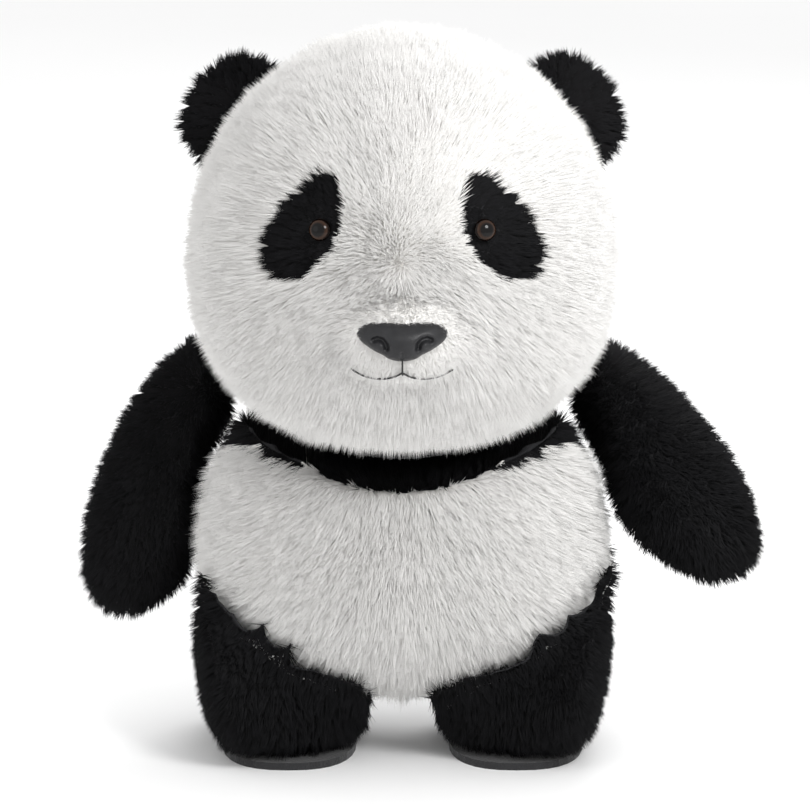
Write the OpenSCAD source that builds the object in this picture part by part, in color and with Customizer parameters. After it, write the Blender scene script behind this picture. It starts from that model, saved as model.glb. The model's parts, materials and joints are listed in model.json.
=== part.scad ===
// A stuffed panda that stands on its soles and faces -Y. Sewn panels lie around a stuffed core,
// and each soft part that flops on the real toy turns about the middle of its own seam.
// A panel's outer face is the outside of its fur, so its thickness is pile and backing together.

/* [Place] */
// Torso's middle to the right of the origin, which lies under the middle of the whole outline
torso_x = -6.5; // [-15:0.5:15]
// Torso's middle behind the origin
torso_y = 26.5; // [0:0.5:45]

/* [Torso] */
// Half of the torso's width
torso_w = 83; // [70:1:96]
// Half of the torso's depth, which is also the radius that the legs turn on
torso_d = 54; // [46:1:60]
// Height of the hip axis above the floor
hip_z = 72; // [66:1:84]
// Rise of the torso's egg above the hip axis, before the head's seat is taken out of it
torso_rise = 110; // [96:1:126]
// Squareness of the torso, where 2 is a plain ellipse
torso_square = 2.3; // [2:0.1:2.8]
// Lateral height of the black yoke's lower edge above the hip axis, as an angle
yoke_angle = 54; // [46:1:62]
// Angle at the back where the black yoke ends and the white back starts
back_angle = 142; // [125:1:155]

/* [Head] */
// Half of the head's width at the cheeks
head_w = 86; // [76:1:96]
// Half of the head's depth
head_d = 80; // [72:1:88]
// Head's height above its widest level
head_up = 94; // [84:1:106]
// Head's height below its widest level
head_down = 74; // [66:1:82]
// Height of the head's widest level above the hip axis
head_z = 130; // [124:1:145]
// How far the head sits forward of the hip axis
head_forward = 18; // [8:1:26]
// Height of the head's turning centre above its widest level
pivot_up = 10; // [6:1:14]
// Squareness of the crown
crown_square = 2.05; // [1.9:0.05:2.4]
// Squareness of the cheeks
cheek_square = 2.3; // [2:0.05:2.6]

/* [Skin] */
// Thickness of fur and backing on the head and torso
skin = 8; // [5:0.5:12]
// Thickness of fur and backing on the arms and legs
limb_skin = 7; // [4:0.5:10]
// Gap between two layers or two panels
gap = 0.3; // [0.2:0.05:0.6]

/* [Face] */
// Distance of each eye from the middle
eye_x = 31; // [24:1:38]
// Height of the eyes above the head's widest level
eye_z = 27; // [18:1:36]
// Diameter of an eye
eye_dia = 8.5; // [6:0.5:12]
// Diameter of an eye's or the nose's shank
shank_dia = 3; // [2:0.5:5]
// Length of a shank behind the eye or nose
shank_len = 15; // [12:1:20]
// Diameter of the washer that locks a shank
washer_dia = 12; // [9:1:16]
// Thickness of a washer
washer_t = 1.6; // [1:0.2:3]
// Half of an eye patch's long and short widths
patch_half = [13, 22]; // [8:1:30]
// Lean of an eye patch away from upright
patch_lean = 34; // [20:1:45]
// Distance of each patch's middle from the middle of the face
patch_x = 37; // [30:1:44]
// Thickness of a patch
patch_t = 2; // [1:0.5:4]
// Half of the muzzle's width and height
muzzle_half = [29, 19]; // [15:1:36]
// Height of the muzzle's middle against the head's widest level
muzzle_z = -16; // [-24:1:-8]
// How far the muzzle stands out
muzzle_rise = 11; // [6:1:16]
// Half of the nose's width and height
nose_half = [18, 8.5]; // [6:0.5:24]
// Height of the nose's middle against the head's widest level
nose_z = -10; // [-18:1:-4]
// How far the nose stands out of the muzzle
nose_rise = 5; // [3:0.5:8]

/* [Ears] */
// Half of an ear's width at its root
ear_half_w = 26; // [18:1:32]
// Height of an ear
ear_h = 23; // [16:1:32]
// Thickness of one ear panel
ear_t = 4.6; // [3:0.2:7]
// Lateral and upward angles of the ear's root on the head
ear_place = [47, 128]; // [30:1:140]
// Gap under the ear's root, which lets it bend
ear_lift = 3; // [2:0.5:6]

/* [Arms] */
// Half of an arm's width, depth and length
arm_half = [28, 22, 61]; // [18:1:75]
// Distance of each shoulder centre from the middle
shoulder_x = 79; // [72:1:96]
// Shoulder centre behind the hip axis
shoulder_back = 22; // [20:1:36]
// Shoulder centre above the hip axis
shoulder_up = 64; // [58:1:74]
// Radius of the arm's round root
root_r = 22; // [18:1:26]
// Arm's middle outward and down from the shoulder centre
arm_mid = [3, 36]; // [0:1:50]
// Spread of the right-hand and left-hand arm in the front view, away from straight down
arm_spread = [22, 34]; // [10:1:55]
// Forward swing of the same two arms
arm_swing = [4, 40]; // [0:1:30]

/* [Legs] */
// Distance of each leg's middle from the middle
leg_x = 45.5; // [38:0.5:52]
// Half of a leg's width
leg_half_w = 37.5; // [30:0.5:42]
// Reach of the foot in front of and behind the hip axis
foot_reach = [66, 58]; // [50:1:80]
// Height of the leg's upper edge at the crotch and at the outer side
leg_edge_z = [25, 80]; // [15:1:95]
// Thickness of a leg's upper edge outside the torso
leg_edge_t = 3.4; // [3:0.2:6]
// Half of the sole's width and depth
sole_half = [27, 40]; // [18:1:50]
// Thickness of a sole
sole_t = 3; // [2:0.5:5]

/* [Tail] */
// Half of the tail's width
tail_half = 17; // [10:1:22]
// How far the tail stands out
tail_rise = 17; // [8:1:24]
// Angle of the tail around the hip axis
tail_angle = 166; // [150:1:175]

/* [Stitches] */
// Diameter of the mouth's thread
mouth_dia = 1.4; // [0.8:0.2:2.4]
// Diameter of the closing seam's thread
seam_dia = 1.2; // [0.8:0.2:2]

/* [Hidden] */
SIDES = ["right", "left"];

fur_white = "whitesmoke";
fur_black = "#1a1a1d";
filling = "ivory";
plastic = "#2a211c";

hip = [torso_x, torso_y - 4, hip_z];
head_mid = hip + [0, -head_forward, head_z];
pivot = head_mid + [0, 0, pivot_up];
// The seat in the torso: a ball a little above the turning centre, so it opens toward its rim
seat_up = 12;
seat_clear = 4;
seat_r = head_down + pivot_up + seat_up + 2 + seat_clear;
head_square = 2.2;
torso_round = 2.4;
// A panel stops this many degrees short of a form's pole, where its rows would meet in a point
pole = 89.4;
// The arms stop a little earlier, since their outline is flatter there
limb_pole = 87.6;
facing_t = 2;
socket_r = root_r + facing_t + 10 * gap;
// The armhole's middle lies this far inside the shoulder centre
socket_in = 3;
arm_square = 2.25;
leg_square = 4;
foot_square = 3;
seam_angle = 0.25;
// The closing seam starts this many degrees below the yoke and ends this many above the tail
seam_inset = 2;
seam_short = 20;
// Slack between a filling and its cover
loose = 2.4;

function side_of(i) = i == 0 ? -1 : 1;
function mix(a, b, t) = a + (b - a) * t;
function clamp(t) = max(0, min(1, t));
function ease(t) = let (c = clamp(t)) c * c * (3 - 2 * c);
function unit(v) = v / norm(v);
function power(x, e) = sign(x) * pow(abs(x), e);
function around(theta) = [0, -cos(theta), sin(theta)];

// Radius of a superellipse with half-axes across and up, at an angle
function super_r(theta, across, up, square) =
    pow(pow(abs(cos(theta)) / across, square) + pow(abs(sin(theta)) / up, square), -1 / square);

// Distance along a ray to a ball that it enters, or far away if it misses
function entry(from, along, ball, r) =
    let (m = ball - from, b = m * along, disc = b * b - m * m + r * r)
    disc > 0 && b > 0 ? b - sqrt(disc) : 1e6;

function shoulder(i) = hip + [side_of(i) * shoulder_x, shoulder_back, shoulder_up];
function socket_mid(i) = shoulder(i) - [side_of(i) * socket_in, 0, 0];

// Torso: slices across X, each turned about the hip axis. Depth d goes inward from the outside.
function torso_r(theta, d) =
    sin(theta) < 0 ? torso_d - d : super_r(theta, torso_d - d, torso_rise - d, torso_round);
function torso_pt(a, theta, d) =
    let (
        from = hip + [(torso_w - d) * power(sin(a), 2 / torso_square), 0, 0],
        along = around(theta),
        r = torso_r(theta, d) * pow(cos(a), 2 / torso_square)
    )
    from + along * min(
        r,
        entry(from, along, pivot + [0, 0, seat_up], seat_r + d),
        entry(from, along, socket_mid(0), socket_r + d),
        entry(from, along, socket_mid(1), socket_r + d)
    );

// Head: the same kind of slices, rounder at the crown than at the cheeks
function head_r(theta, d) =
    super_r(theta, head_d - d, (sin(theta) > 0 ? head_up : head_down) - d, head_square);
function head_side(theta) = mix(cheek_square, crown_square, (1 + sin(theta)) / 2);
function head_pt(a, theta, d) =
    let (e = 2 / head_side(theta))
    head_mid + [(head_w - d) * power(sin(a), e), 0, 0]
        + around(theta) * head_r(theta, d) * pow(cos(a), e);

// A place on the face, given across and up from the head's middle
function face_pt(x, z, d) =
    let (theta = asin(clamp(abs(z) / head_d)) * sign(z))
    head_pt(asin(pow(abs(x) / head_w, head_side(theta) / 2)) * sign(x), theta, d);

// Faces of a closed patch with an outer and an inner grid of (na + 1) by (nb + 1) points
function patch_faces(na, nb, flip) =
    let (
        row = nb + 1,
        back = (na + 1) * row,
        o = function (i, j) i * row + j,
        quads = concat(
            [for (i = [0:na - 1], j = [0:nb - 1])
                [o(i, j), o(i, j + 1), o(i + 1, j + 1), o(i + 1, j)]],
            [for (i = [0:na - 1], j = [0:nb - 1])
                [back + o(i + 1, j), back + o(i + 1, j + 1), back + o(i, j + 1), back + o(i, j)]],
            [for (i = [0:na - 1])
                [o(i, 0), o(i + 1, 0), back + o(i + 1, 0), back + o(i, 0)]],
            [for (i = [0:na - 1])
                [o(i, nb), back + o(i, nb), back + o(i + 1, nb), o(i + 1, nb)]],
            [for (j = [0:nb - 1])
                [o(0, j), back + o(0, j), back + o(0, j + 1), o(0, j + 1)]],
            [for (j = [0:nb - 1])
                [o(na, j), o(na, j + 1), back + o(na, j + 1), back + o(na, j)]]
        )
    )
    [for (q = quads, t = [[q[0], q[1], q[2]], [q[0], q[2], q[3]]])
        flip ? [t[2], t[1], t[0]] : t];

// A panel between two surfaces over a from a0 to a1 and theta from low(a) to high(a)
module panel(outer, inner, a0, a1, low, high, na, nb, flip = false) {
    grid = [for (i = [0:na], j = [0:nb])
        let (a = mix(a0, a1, i / na)) [a, mix(low(a), high(a), j / nb)]];
    polyhedron(
        concat([for (g = grid) outer(g[0], g[1])], [for (g = grid) inner(g[0], g[1])]),
        patch_faces(na, nb, flip)
    );
}

// A closed form over a from -90 to 90 and theta all the way round
module closed_form(pt, na, nt, flip = false) {
    rows = [for (i = [1:na - 1], j = [0:nt - 1]) pt(-90 + 180 * i / na, 360 * j / nt)];
    last = len(rows);
    at = function (i, j) (i - 1) * nt + j % nt;
    tris = concat(
        [for (i = [1:na - 2], j = [0:nt - 1], k = [0, 1]) k == 0
            ? [at(i, j), at(i, j + 1), at(i + 1, j + 1)]
            : [at(i, j), at(i + 1, j + 1), at(i + 1, j)]],
        [for (j = [0:nt - 1]) [last, at(1, j + 1), at(1, j)]],
        [for (j = [0:nt - 1]) [last + 1, at(na - 1, j), at(na - 1, j + 1)]]
    );
    polyhedron(
        concat(rows, [pt(-90, 0), pt(90, 0)]),
        [for (t = tris) flip ? [t[2], t[1], t[0]] : t]
    );
}

// A cap over an oval outline: top(rho, phi) and base(rho, phi) give its outer and inner points
module cap(top, base, rings, n, flip = false) {
    half = 1 + rings * n;
    at = function (k, j) k == 0 ? 0 : 1 + (k - 1) * n + j % n;
    sheet = function (pt) concat([pt(0, 0)],
        [for (k = [1:rings], j = [0:n - 1]) pt(k / rings, 360 * j / n)]);
    tris = concat(
        [for (j = [0:n - 1]) [at(0, j), at(1, j + 1), at(1, j)]],
        [for (k = [1:rings - 1], j = [0:n - 1], h = [0, 1]) h == 0
            ? [at(k, j), at(k + 1, j + 1), at(k + 1, j)]
            : [at(k, j), at(k, j + 1), at(k + 1, j + 1)]]
    );
    wall = [for (j = [0:n - 1], h = [0, 1]) h == 0
        ? [at(rings, j), at(rings, j + 1), half + at(rings, j + 1)]
        : [at(rings, j), half + at(rings, j + 1), half + at(rings, j)]];
    faces = concat(tris, [for (t = tris) [half + t[2], half + t[1], half + t[0]]], wall);
    polyhedron(
        concat(sheet(top), sheet(base)),
        [for (t = faces) flip ? [t[2], t[1], t[0]] : t]
    );
}

// A thread along points, with a round section that stays square to a given up direction
module thread(points, dia, up, sides = 6) {
    last = len(points) - 1;
    rings = [for (i = [0:last])
        let (
            along = unit(points[min(i + 1, last)] - points[max(i - 1, 0)]),
            across = unit(cross(along, up)),
            lift = cross(across, along)
        )
        for (j = [0:sides - 1])
            points[i] + dia / 2 * (cos(360 * j / sides) * across + sin(360 * j / sides) * lift)];
    at = function (i, j) i * sides + j % sides;
    polyhedron(rings, concat(
        [for (i = [0:last - 1], j = [0:sides - 1], h = [0, 1]) h == 0
            ? [at(i, j), at(i, j + 1), at(i + 1, j + 1)]
            : [at(i, j), at(i + 1, j + 1), at(i + 1, j)]],
        [for (j = [1:sides - 2]) [at(0, 0), at(0, j + 1), at(0, j)]],
        [for (j = [1:sides - 2]) [at(last, 0), at(last, j), at(last, j + 1)]]
    ));
}

// Stands a child's +Z along a direction, at a point
module face_along(at, along) {
    translate(at)
        rotate([0, acos(along[2] / norm(along)), atan2(along[1], along[0])])
            children();
}

// ---- Head ----

gusset_start = -2;
gusset_end = 214;
gusset_half = 15;
chin_top = -64;
chin_back = -118;
back_start = 92;

// Half-angle of the gusset: a point at the brow, full over the crown, a point at the nape
function gusset_w(theta) =
    gusset_half * ease((theta - gusset_start) / 60) * ease((gusset_end - theta) / 60);

// A side panel of the head, from the gusset's or the middle seam's edge out to the side pole
module head_panel(i, from, to, na, nt) {
    turned = function (t, e, d) let (
            theta = mix(from, to, t),
            inner = gusset_w(theta < -120 ? theta + 360 : theta) + seam_angle,
            a = mix(inner, pole, e)
        ) head_pt(side_of(i) * a, theta, d);
    panel(
        function (e, t) turned(t, e, 0), function (e, t) turned(t, e, skin),
        0, 1, function (e) 0, function (e) 1, na, nt, i == 0
    );
}

module face(i) {
    color(fur_white) difference() {
        head_panel(i, chin_top + seam_angle, back_start - seam_angle, 6, 12);
        shank_hole(i);
        nose_hole();
    }
}

module head_back(i) {
    color(fur_white)
        head_panel(i, back_start + seam_angle, 360 + chin_back - seam_angle, 6, 12);
}

module forehead_gusset() {
    color(fur_white) panel(
        function (e, t) head_pt(e * (gusset_w(t) - seam_angle), t, 0),
        function (e, t) head_pt(e * (gusset_w(t) - seam_angle), t, skin),
        -1, 1, function (e) gusset_start + 16, function (e) gusset_end - 16, 4, 20
    );
}

module chin_panel() {
    color(fur_white) panel(
        function (a, t) head_pt(a, t, 0), function (a, t) head_pt(a, t, skin),
        -pole, pole, function (a) chin_back + seam_angle, function (a) chin_top - seam_angle,
        14, 6
    );
}

module head_stuffing() {
    color(filling) difference() {
        closed_form(function (a, t) head_pt(a, t, skin + loose), 12, 18);
        for (i = [0, 1])
            washer_pocket(eye_at(i), eye_along(i), shank_len);
        washer_pocket(nose_at, nose_along, nose_shank_len);
    }
}

// Room in the stuffing for a shank and its washer, drilled in from outside
module washer_pocket(at, along, length) {
    face_along(at, along)
        translate([0, 0, -length - 2])
            cylinder(h = length + 2, d = washer_dia + 2, $fn = 48);
}

// ---- Eyes, patches, muzzle and nose ----

function eye_at(i) = face_pt(side_of(i) * eye_x, eye_z, -patch_t - 2 * gap);
function eye_along(i) =
    let (
        right = face_pt(side_of(i) * eye_x + 1, eye_z, 0) - face_pt(side_of(i) * eye_x - 1, eye_z, 0),
        up = face_pt(side_of(i) * eye_x, eye_z + 1, 0) - face_pt(side_of(i) * eye_x, eye_z - 1, 0)
    )
    unit(cross(right, up));
nose_sunk = muzzle_h(0, nose_z) + 2 * gap;
nose_at = face_pt(0, nose_z, -nose_sunk);
nose_shank_len = shank_len + muzzle_rise;
// Height of the eye's straight edge under its dome
eye_rim = 0.8;
nose_along = around(asin(nose_z / head_d));

module eye_patch(i) {
    s = side_of(i);
    oval = function (rho, phi) let (
            u = patch_half[0] * rho * cos(phi) * (1 - 0.15 * sin(phi)),
            v = patch_half[1] * rho * sin(phi),
            x = u * cos(patch_lean) - v * sin(patch_lean),
            z = u * sin(patch_lean) + v * cos(patch_lean)
        ) [s * (patch_x + x), eye_z + z];
    color(fur_black) difference() {
        cap(
            function (rho, phi) let (p = oval(rho, phi))
                face_pt(p[0], p[1], -gap - patch_t * (1 - 0.5 * rho * rho)),
            function (rho, phi) let (p = oval(rho, phi)) face_pt(p[0], p[1], -gap),
            3, 16, i == 0
        );
        shank_hole(i);
    }
}

module shank_hole(i) {
    face_along(eye_at(i), eye_along(i))
        cylinder(h = 2 * shank_len, d = shank_dia + 2 * gap, center = true, $fn = 32);
}

module nose_hole() {
    face_along(nose_at, nose_along)
        cylinder(h = 2 * nose_shank_len, d = shank_dia + 2 * gap, center = true, $fn = 32);
}

// A domed safety eye with its shank
module eye(i) {
    dome_r = eye_dia / 2;
    color(plastic) face_along(eye_at(i), eye_along(i)) {
        intersection() {
            translate([0, 0, eye_rim - 0.3 * dome_r])
                sphere(r = 1.04 * dome_r, $fn = 48);
            translate([0, 0, eye_rim + dome_r])
                cube(2 * dome_r, center = true);
        }
        cylinder(h = eye_rim, r = dome_r, $fn = 48);
        translate([0, 0, -shank_len])
            cylinder(h = shank_len + eye_rim, d = shank_dia, $fn = 48);
    }
}

// A push-on washer that locks a shank behind the skin
module washer(at, along, depth) {
    color("gainsboro") face_along(at, along)
        translate([0, 0, -depth - washer_t])
            difference() {
                cylinder(h = washer_t, d = washer_dia, $fn = 48);
                translate([0, 0, -1])
                    cylinder(h = washer_t + 2, d = shank_dia + 0.1, $fn = 48);
            }
}

module eye_washer(i) {
    washer(eye_at(i), eye_along(i), patch_t + skin + 4 * gap + 0.6);
}

module nose_washer() {
    washer(nose_at, nose_along, nose_sunk + skin + 4 * gap + 0.6);
}

// Height of the muzzle over the face, at a place on the face
function muzzle_h(x, z) =
    let (rho = norm([x / muzzle_half[0], (z - muzzle_z) / muzzle_half[1]]))
    1 + muzzle_rise * pow(clamp(1 - rho * rho), 0.7);

module muzzle_pad() {
    spot = function (rho, phi)
        [muzzle_half[0] * rho * cos(phi), muzzle_z + muzzle_half[1] * rho * sin(phi)];
    color(fur_white) difference() {
        cap(
            function (rho, phi) let (p = spot(rho, phi))
                face_pt(p[0], p[1], -gap - muzzle_h(p[0], p[1])),
            function (rho, phi) let (p = spot(rho, phi)) face_pt(p[0], p[1], -gap),
            5, 20
        );
        nose_hole();
    }
}

// A wide rounded nose, flat across its top and narrow below, with a shank
module nose() {
    spot = function (rho, phi) let (
            x = nose_half[0] * rho * power(cos(phi), 0.8),
            z = nose_half[1] * rho * power(sin(phi), 0.8),
            narrow = z > 0 ? 1 : 1 - 0.35 * pow(abs(z) / nose_half[1], 1.5)
        ) [x * narrow, nose_z + z];
    over = function (p) -2 * gap - muzzle_h(p[0], p[1]);
    color(plastic) union() {
        cap(
            function (rho, phi) let (p = spot(rho, phi))
                face_pt(p[0], p[1], over(p) - 1 - nose_rise * pow(clamp(1 - rho * rho), 0.5)),
            function (rho, phi) let (p = spot(rho, phi)) face_pt(p[0], p[1], over(p)),
            4, 20
        );
        face_along(nose_at, nose_along)
            translate([0, 0, -nose_shank_len])
                cylinder(h = nose_shank_len + 1, d = shank_dia, $fn = 48);
    }
}

// The mouth: a line down from the nose, and an arc to each side
module mouth_stitching() {
    depth = gap + mouth_dia / 2;
    on = function (x, z) face_pt(x, z, -gap - muzzle_h(x, z) - depth);
    foot = nose_z - nose_half[1] - 9;
    color(fur_black) {
        thread([for (t = [0:0.25:1]) on(0, mix(nose_z - nose_half[1] - 1.5, foot + 1.2, t))],
            mouth_dia, [0, -1, 0]);
        for (s = [-1, 1])
            thread([for (t = [0:0.2:1]) on(s * mix(1.2, 17, t), foot - 3 * sin(180 * t) + 3 * t)],
                mouth_dia, [0, -1, 0]);
    }
}

// ---- Ears ----

function ear_at(i) = head_pt(side_of(i) * ear_place[0], ear_place[1], -ear_lift);
function ear_up(i) = unit(ear_at(i) - head_mid);
function ear_across(i) = unit(cross([0, 1, 0], ear_up(i)));
function ear_front_way(i) = cross(ear_across(i), ear_up(i));

// One face of a half-round ear. way is 1 for the front and -1 for the back.
module ear_panel(i, way) {
    normal = unit(ear_front_way(i)) * (ear_front_way(i)[1] < 0 ? way : -way);
    pt = function (q, v, w) ear_at(i) + ear_across(i) * q * ear_half_w * pow(1 - v * v, 0.45)
        + ear_up(i) * ear_h * v + normal * w;
    bulge = function (q, v) ear_t * pow((1 - 0.9 * q * q) * (1 - 0.75 * v * v * v), 0.6);
    flat = gap / 2;
    spun = cross(ear_across(i), ear_up(i)) * normal < 0;
    color(fur_black) panel(
        function (q, v) pt(q, v, flat + bulge(q, v)), function (q, v) pt(q, v, flat),
        -1, 1, function (q) 0, function (q) 0.97, 8, 6, spun
    );
}

module ear_front(i) {
    ear_panel(i, 1);
}

module ear_back(i) {
    ear_panel(i, -1);
}

// ---- Neck ----

// A shallow bowl of lining cloth, sewn into the seam between the head and the torso
module neck_facing() {
    inner = head_down + pivot_up + 2.4;
    wide = 17;
    bowl = function (rho, phi, r)
        pivot + r * [sin(wide * rho) * cos(phi), sin(wide * rho) * sin(phi), -cos(wide * rho)];
    color(filling) cap(
        function (rho, phi) bowl(rho, phi, inner + facing_t),
        function (rho, phi) bowl(rho, phi, inner),
        3, 20, true
    );
}

// ---- Torso ----

// Lower edge of the yoke at the front, and its upper edge over the sides
function yoke_low(a) = mix(yoke_angle, 90, pow(abs(sin(a)), 3));
function yoke_back(a) = mix(back_angle, 92, pow(abs(sin(a)), 3));

// Where a leg's upper edge crosses the torso, in front. It is mirrored behind.
function leg_edge(a) =
    let (
        side = abs(sin(a)),
        z = mix(leg_edge_z[0], leg_edge_z[1], pow(side, 2 / torso_square)),
        r = torso_d * pow(cos(a), 2 / torso_square) + 2
    )
    asin(max(-1, min(0.75, (z - hip_z) / r)));

module torso_panel(low, high, na, nb, shade) {
    color(shade) panel(
        function (a, t) torso_pt(a, t, 0), function (a, t) torso_pt(a, t, skin),
        -pole, pole, low, high, na, nb
    );
}

// The belly runs this many degrees in under the legs' edges
tuck = 8;

module belly_panel() {
    torso_panel(
        function (a) leg_edge(a) - tuck + seam_angle, function (a) yoke_low(a) - seam_angle,
        20, 10, fur_white
    );
}

module chest_yoke() {
    torso_panel(
        function (a) yoke_low(a) + seam_angle, function (a) 91 - seam_angle, 20, 8, fur_black
    );
}

module upper_back_panel() {
    torso_panel(
        function (a) 91 + seam_angle, function (a) yoke_back(a) + 2 - seam_angle,
        20, 10, fur_black
    );
}

module lower_back_panel() {
    torso_panel(
        function (a) yoke_back(a) + 2 + seam_angle,
        function (a) 180 - leg_edge(a) + tuck - seam_angle, 20, 8, fur_white
    );
}

module seat_panel() {
    torso_panel(
        function (a) -180 - leg_edge(a) + tuck + seam_angle,
        function (a) leg_edge(a) - tuck - seam_angle, 16, 8, fur_white
    );
}

module torso_stuffing() {
    color(filling)
        closed_form(function (a, t) torso_pt(a, t, skin + loose + 0.6), 14, 22);
}

// The hand-sewn seam that closes the toy's back, lying on the middle of the back panels
module closing_seam() {
    color(fur_white)
        thread([for (t = [0:0.1:1]) torso_pt(1.5 * (round(10 * t) % 2 == 0 ? 1 : -1),
            mix(yoke_back(0) + seam_inset, tail_angle - seam_short, t), -gap - seam_dia / 2)],
            seam_dia, [0, 1, 0.4]);
}

// ---- Tail ----

function tail_pt(rho, phi, h, grow) =
    torso_pt(
        rho * (tail_half + grow) * cos(phi) / torso_w * 57,
        tail_angle + rho * (tail_half + grow) * sin(phi) / torso_d * 57, -h
    );
function tail_h(rho) = gap + 1.2 + tail_rise * pow(clamp(1 - rho * rho), 0.55);
tail_wall = 5;

module tail_cover() {
    color(fur_white) cap(
        function (rho, phi) tail_pt(rho, phi, tail_h(rho), 0),
        function (rho, phi) tail_pt(rho, phi, max(gap, tail_h(rho) - tail_wall), 0),
        5, 16
    );
}

module tail_stuffing() {
    share = 0.72;
    color(filling) cap(
        function (rho, phi)
            tail_pt(rho * share, phi, tail_h(rho * share) - tail_wall - 2 * gap, 0),
        function (rho, phi) tail_pt(rho * share, phi, 2 * gap, 0),
        4, 14
    );
}

// ---- Arms ----

// How softly the arm's cloth is pressed flat against the torso
press = 4;
// How far the arm's root bulges into the armhole
root_depth = 11;

// How far out the arm has to stay at a distance from the shoulder's axis
function arm_wall(r) =
    r < root_r
        ? shoulder_x - root_depth * (1 - pow(r / root_r, 2))
        : mix(shoulder_x, torso_w + 1, clamp((r - root_r) / 16));

// A point on the arm: turned by its spread and swing, then pressed flat where it meets the torso
function arm_pt(i, a, theta, d) =
    let (
        s = side_of(i),
        k = pow(cos(a), 2 / arm_square),
        out = arm_mid[0] + (arm_half[0] - d) * k * cos(theta),
        ahead = (arm_half[1] - d) * k * sin(theta),
        down = arm_mid[1] + (arm_half[2] - d) * power(sin(a), 2 / arm_square),
        x = out * cos(arm_spread[i]) + down * sin(arm_spread[i]),
        z = out * sin(arm_spread[i]) - down * cos(arm_spread[i]),
        y = -ahead * cos(arm_swing[i]) + z * sin(arm_swing[i]),
        up = ahead * sin(arm_swing[i]) + z * cos(arm_swing[i]),
        wall = arm_wall(norm([y, up])) - shoulder_x,
        over = x - wall
    )
    shoulder(i) + [s * (wall + (over + sqrt(over * over + 4 * press * press)) / 2), y, up];

module arm_panel(i, from, to) {
    color(fur_black) panel(
        function (a, t) arm_pt(i, a, t, 0), function (a, t) arm_pt(i, a, t, limb_skin),
        -limb_pole, limb_pole, function (a) from + seam_angle, function (a) to - seam_angle,
        16, 10, i == 1
    );
}

module arm_outer(i) {
    arm_panel(i, -90, 90);
}

module arm_inner(i) {
    arm_panel(i, 90, 270);
}

module arm_stuffing(i) {
    color(filling)
        closed_form(function (a, t) arm_pt(i, a, t, limb_skin + loose), 12, 14, i == 1);
}

// A cup of lining cloth in the armhole, between the torso's socket and the arm's round root
module armhole_facing(i) {
    s = side_of(i);
    wide = 34;
    cup = function (rho, phi, r) shoulder(i)
        + r * [-s * cos(wide * rho), sin(wide * rho) * cos(phi), sin(wide * rho) * sin(phi)];
    color(filling) cap(
        function (rho, phi) cup(rho, phi, root_r + 2 * gap + facing_t - gap),
        function (rho, phi) cup(rho, phi, root_r + gap),
        3, 16, i == 1
    );
}

// ---- Legs ----

// A leg's slice across X at a share of its width, from -90 at the crotch to 90 at the outer side
function leg_s(b, d) = leg_x + (leg_half_w - d) * power(sin(b), 2 / leg_square);
// Inside of the leg, a running gap outside the torso
function leg_in(s) =
    (torso_d + gap) * pow(clamp(1 - pow(abs(s) / (torso_w + gap), torso_square)), 1 / torso_square);
function leg_from(s) = max(4, leg_in(s)) + gap;

// Angle of the leg's upper edge at a slice, in front or mirrored behind
function leg_top(s) =
    let (z = mix(leg_edge_z[0], leg_edge_z[1], clamp(s / torso_w)))
    asin(max(-1, min(0.75, (z - hip_z) / (leg_from(s) + 2))));

// Outside of the leg: a foot form that thins to the upper edge, with a flat underside
function leg_out(b, theta, d) =
    let (
        s = leg_s(b, d),
        thin = leg_from(s) + leg_edge_t,
        reach = (cos(theta) > 0 ? foot_reach[0] : foot_reach[1]) - d,
        full = pow(cos(b), 2 / leg_square)
            * super_r(theta, reach, hip_z + 4 - d, foot_square),
        top = leg_top(s),
        from_edge = min(top - theta, theta + 180 + top),
        r = mix(thin, max(thin, full), ease(from_edge / 42)),
        floor_r = (hip_z - sole_t - gap - d) / max(0.001, -sin(theta))
    )
    sin(theta) < 0 ? min(r, max(floor_r, thin - 2)) : r;

function leg_at(i, b, theta, r, d) =
    hip + [side_of(i) * leg_s(b, d), 0, 0] + around(theta) * r;

module leg_panel(i, low, high, nb) {
    outer = function (b, t) leg_at(i, b, t, leg_out(b, t, 0), 0);
    inner = function (b, t) leg_at(i, b, t,
        max(leg_from(leg_s(b, 0)) + 1.6, leg_out(b, t, 0) - limb_skin), 0);
    color(fur_black) panel(outer, inner, -pole, pole, low, high, 12, nb, i == 0);
}

module leg_front(i) {
    leg_panel(i, function (b) -90 + seam_angle, function (b) leg_top(leg_s(b, 0)), 11);
}

module leg_back(i) {
    leg_panel(i, function (b) -180 - leg_top(leg_s(b, 0)), function (b) -90 - seam_angle, 11);
}

module leg_stuffing(i) {
    inset = limb_skin;
    low = function (b) -180 - leg_top(leg_s(b, inset)) + 16;
    high = function (b) leg_top(leg_s(b, inset)) - 16;
    near = function (b) leg_from(leg_s(b, inset)) + 2 * gap;
    outer = function (b, t)
        leg_at(i, b, t, max(near(b) + 0.5, leg_out(b, t, 0) - limb_skin - loose), inset);
    inner = function (b, t) leg_at(i, b, t, near(b), inset);
    color(filling) panel(outer, inner, -84, 84, low, high, 12, 18, i == 0);
}

// A flat sole under the foot, the face that the toy stands on
module sole(i) {
    mid = hip + [side_of(i) * leg_x, (foot_reach[1] - foot_reach[0]) / 2, -hip_z];
    color(fur_black) translate(mid)
        linear_extrude(height = sole_t)
            polygon([for (k = [0:31]) let (phi = 360 * k / 32)
                [sole_half[0] * power(cos(phi), 0.8), sole_half[1] * power(sin(phi), 0.8)]]);
}

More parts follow.
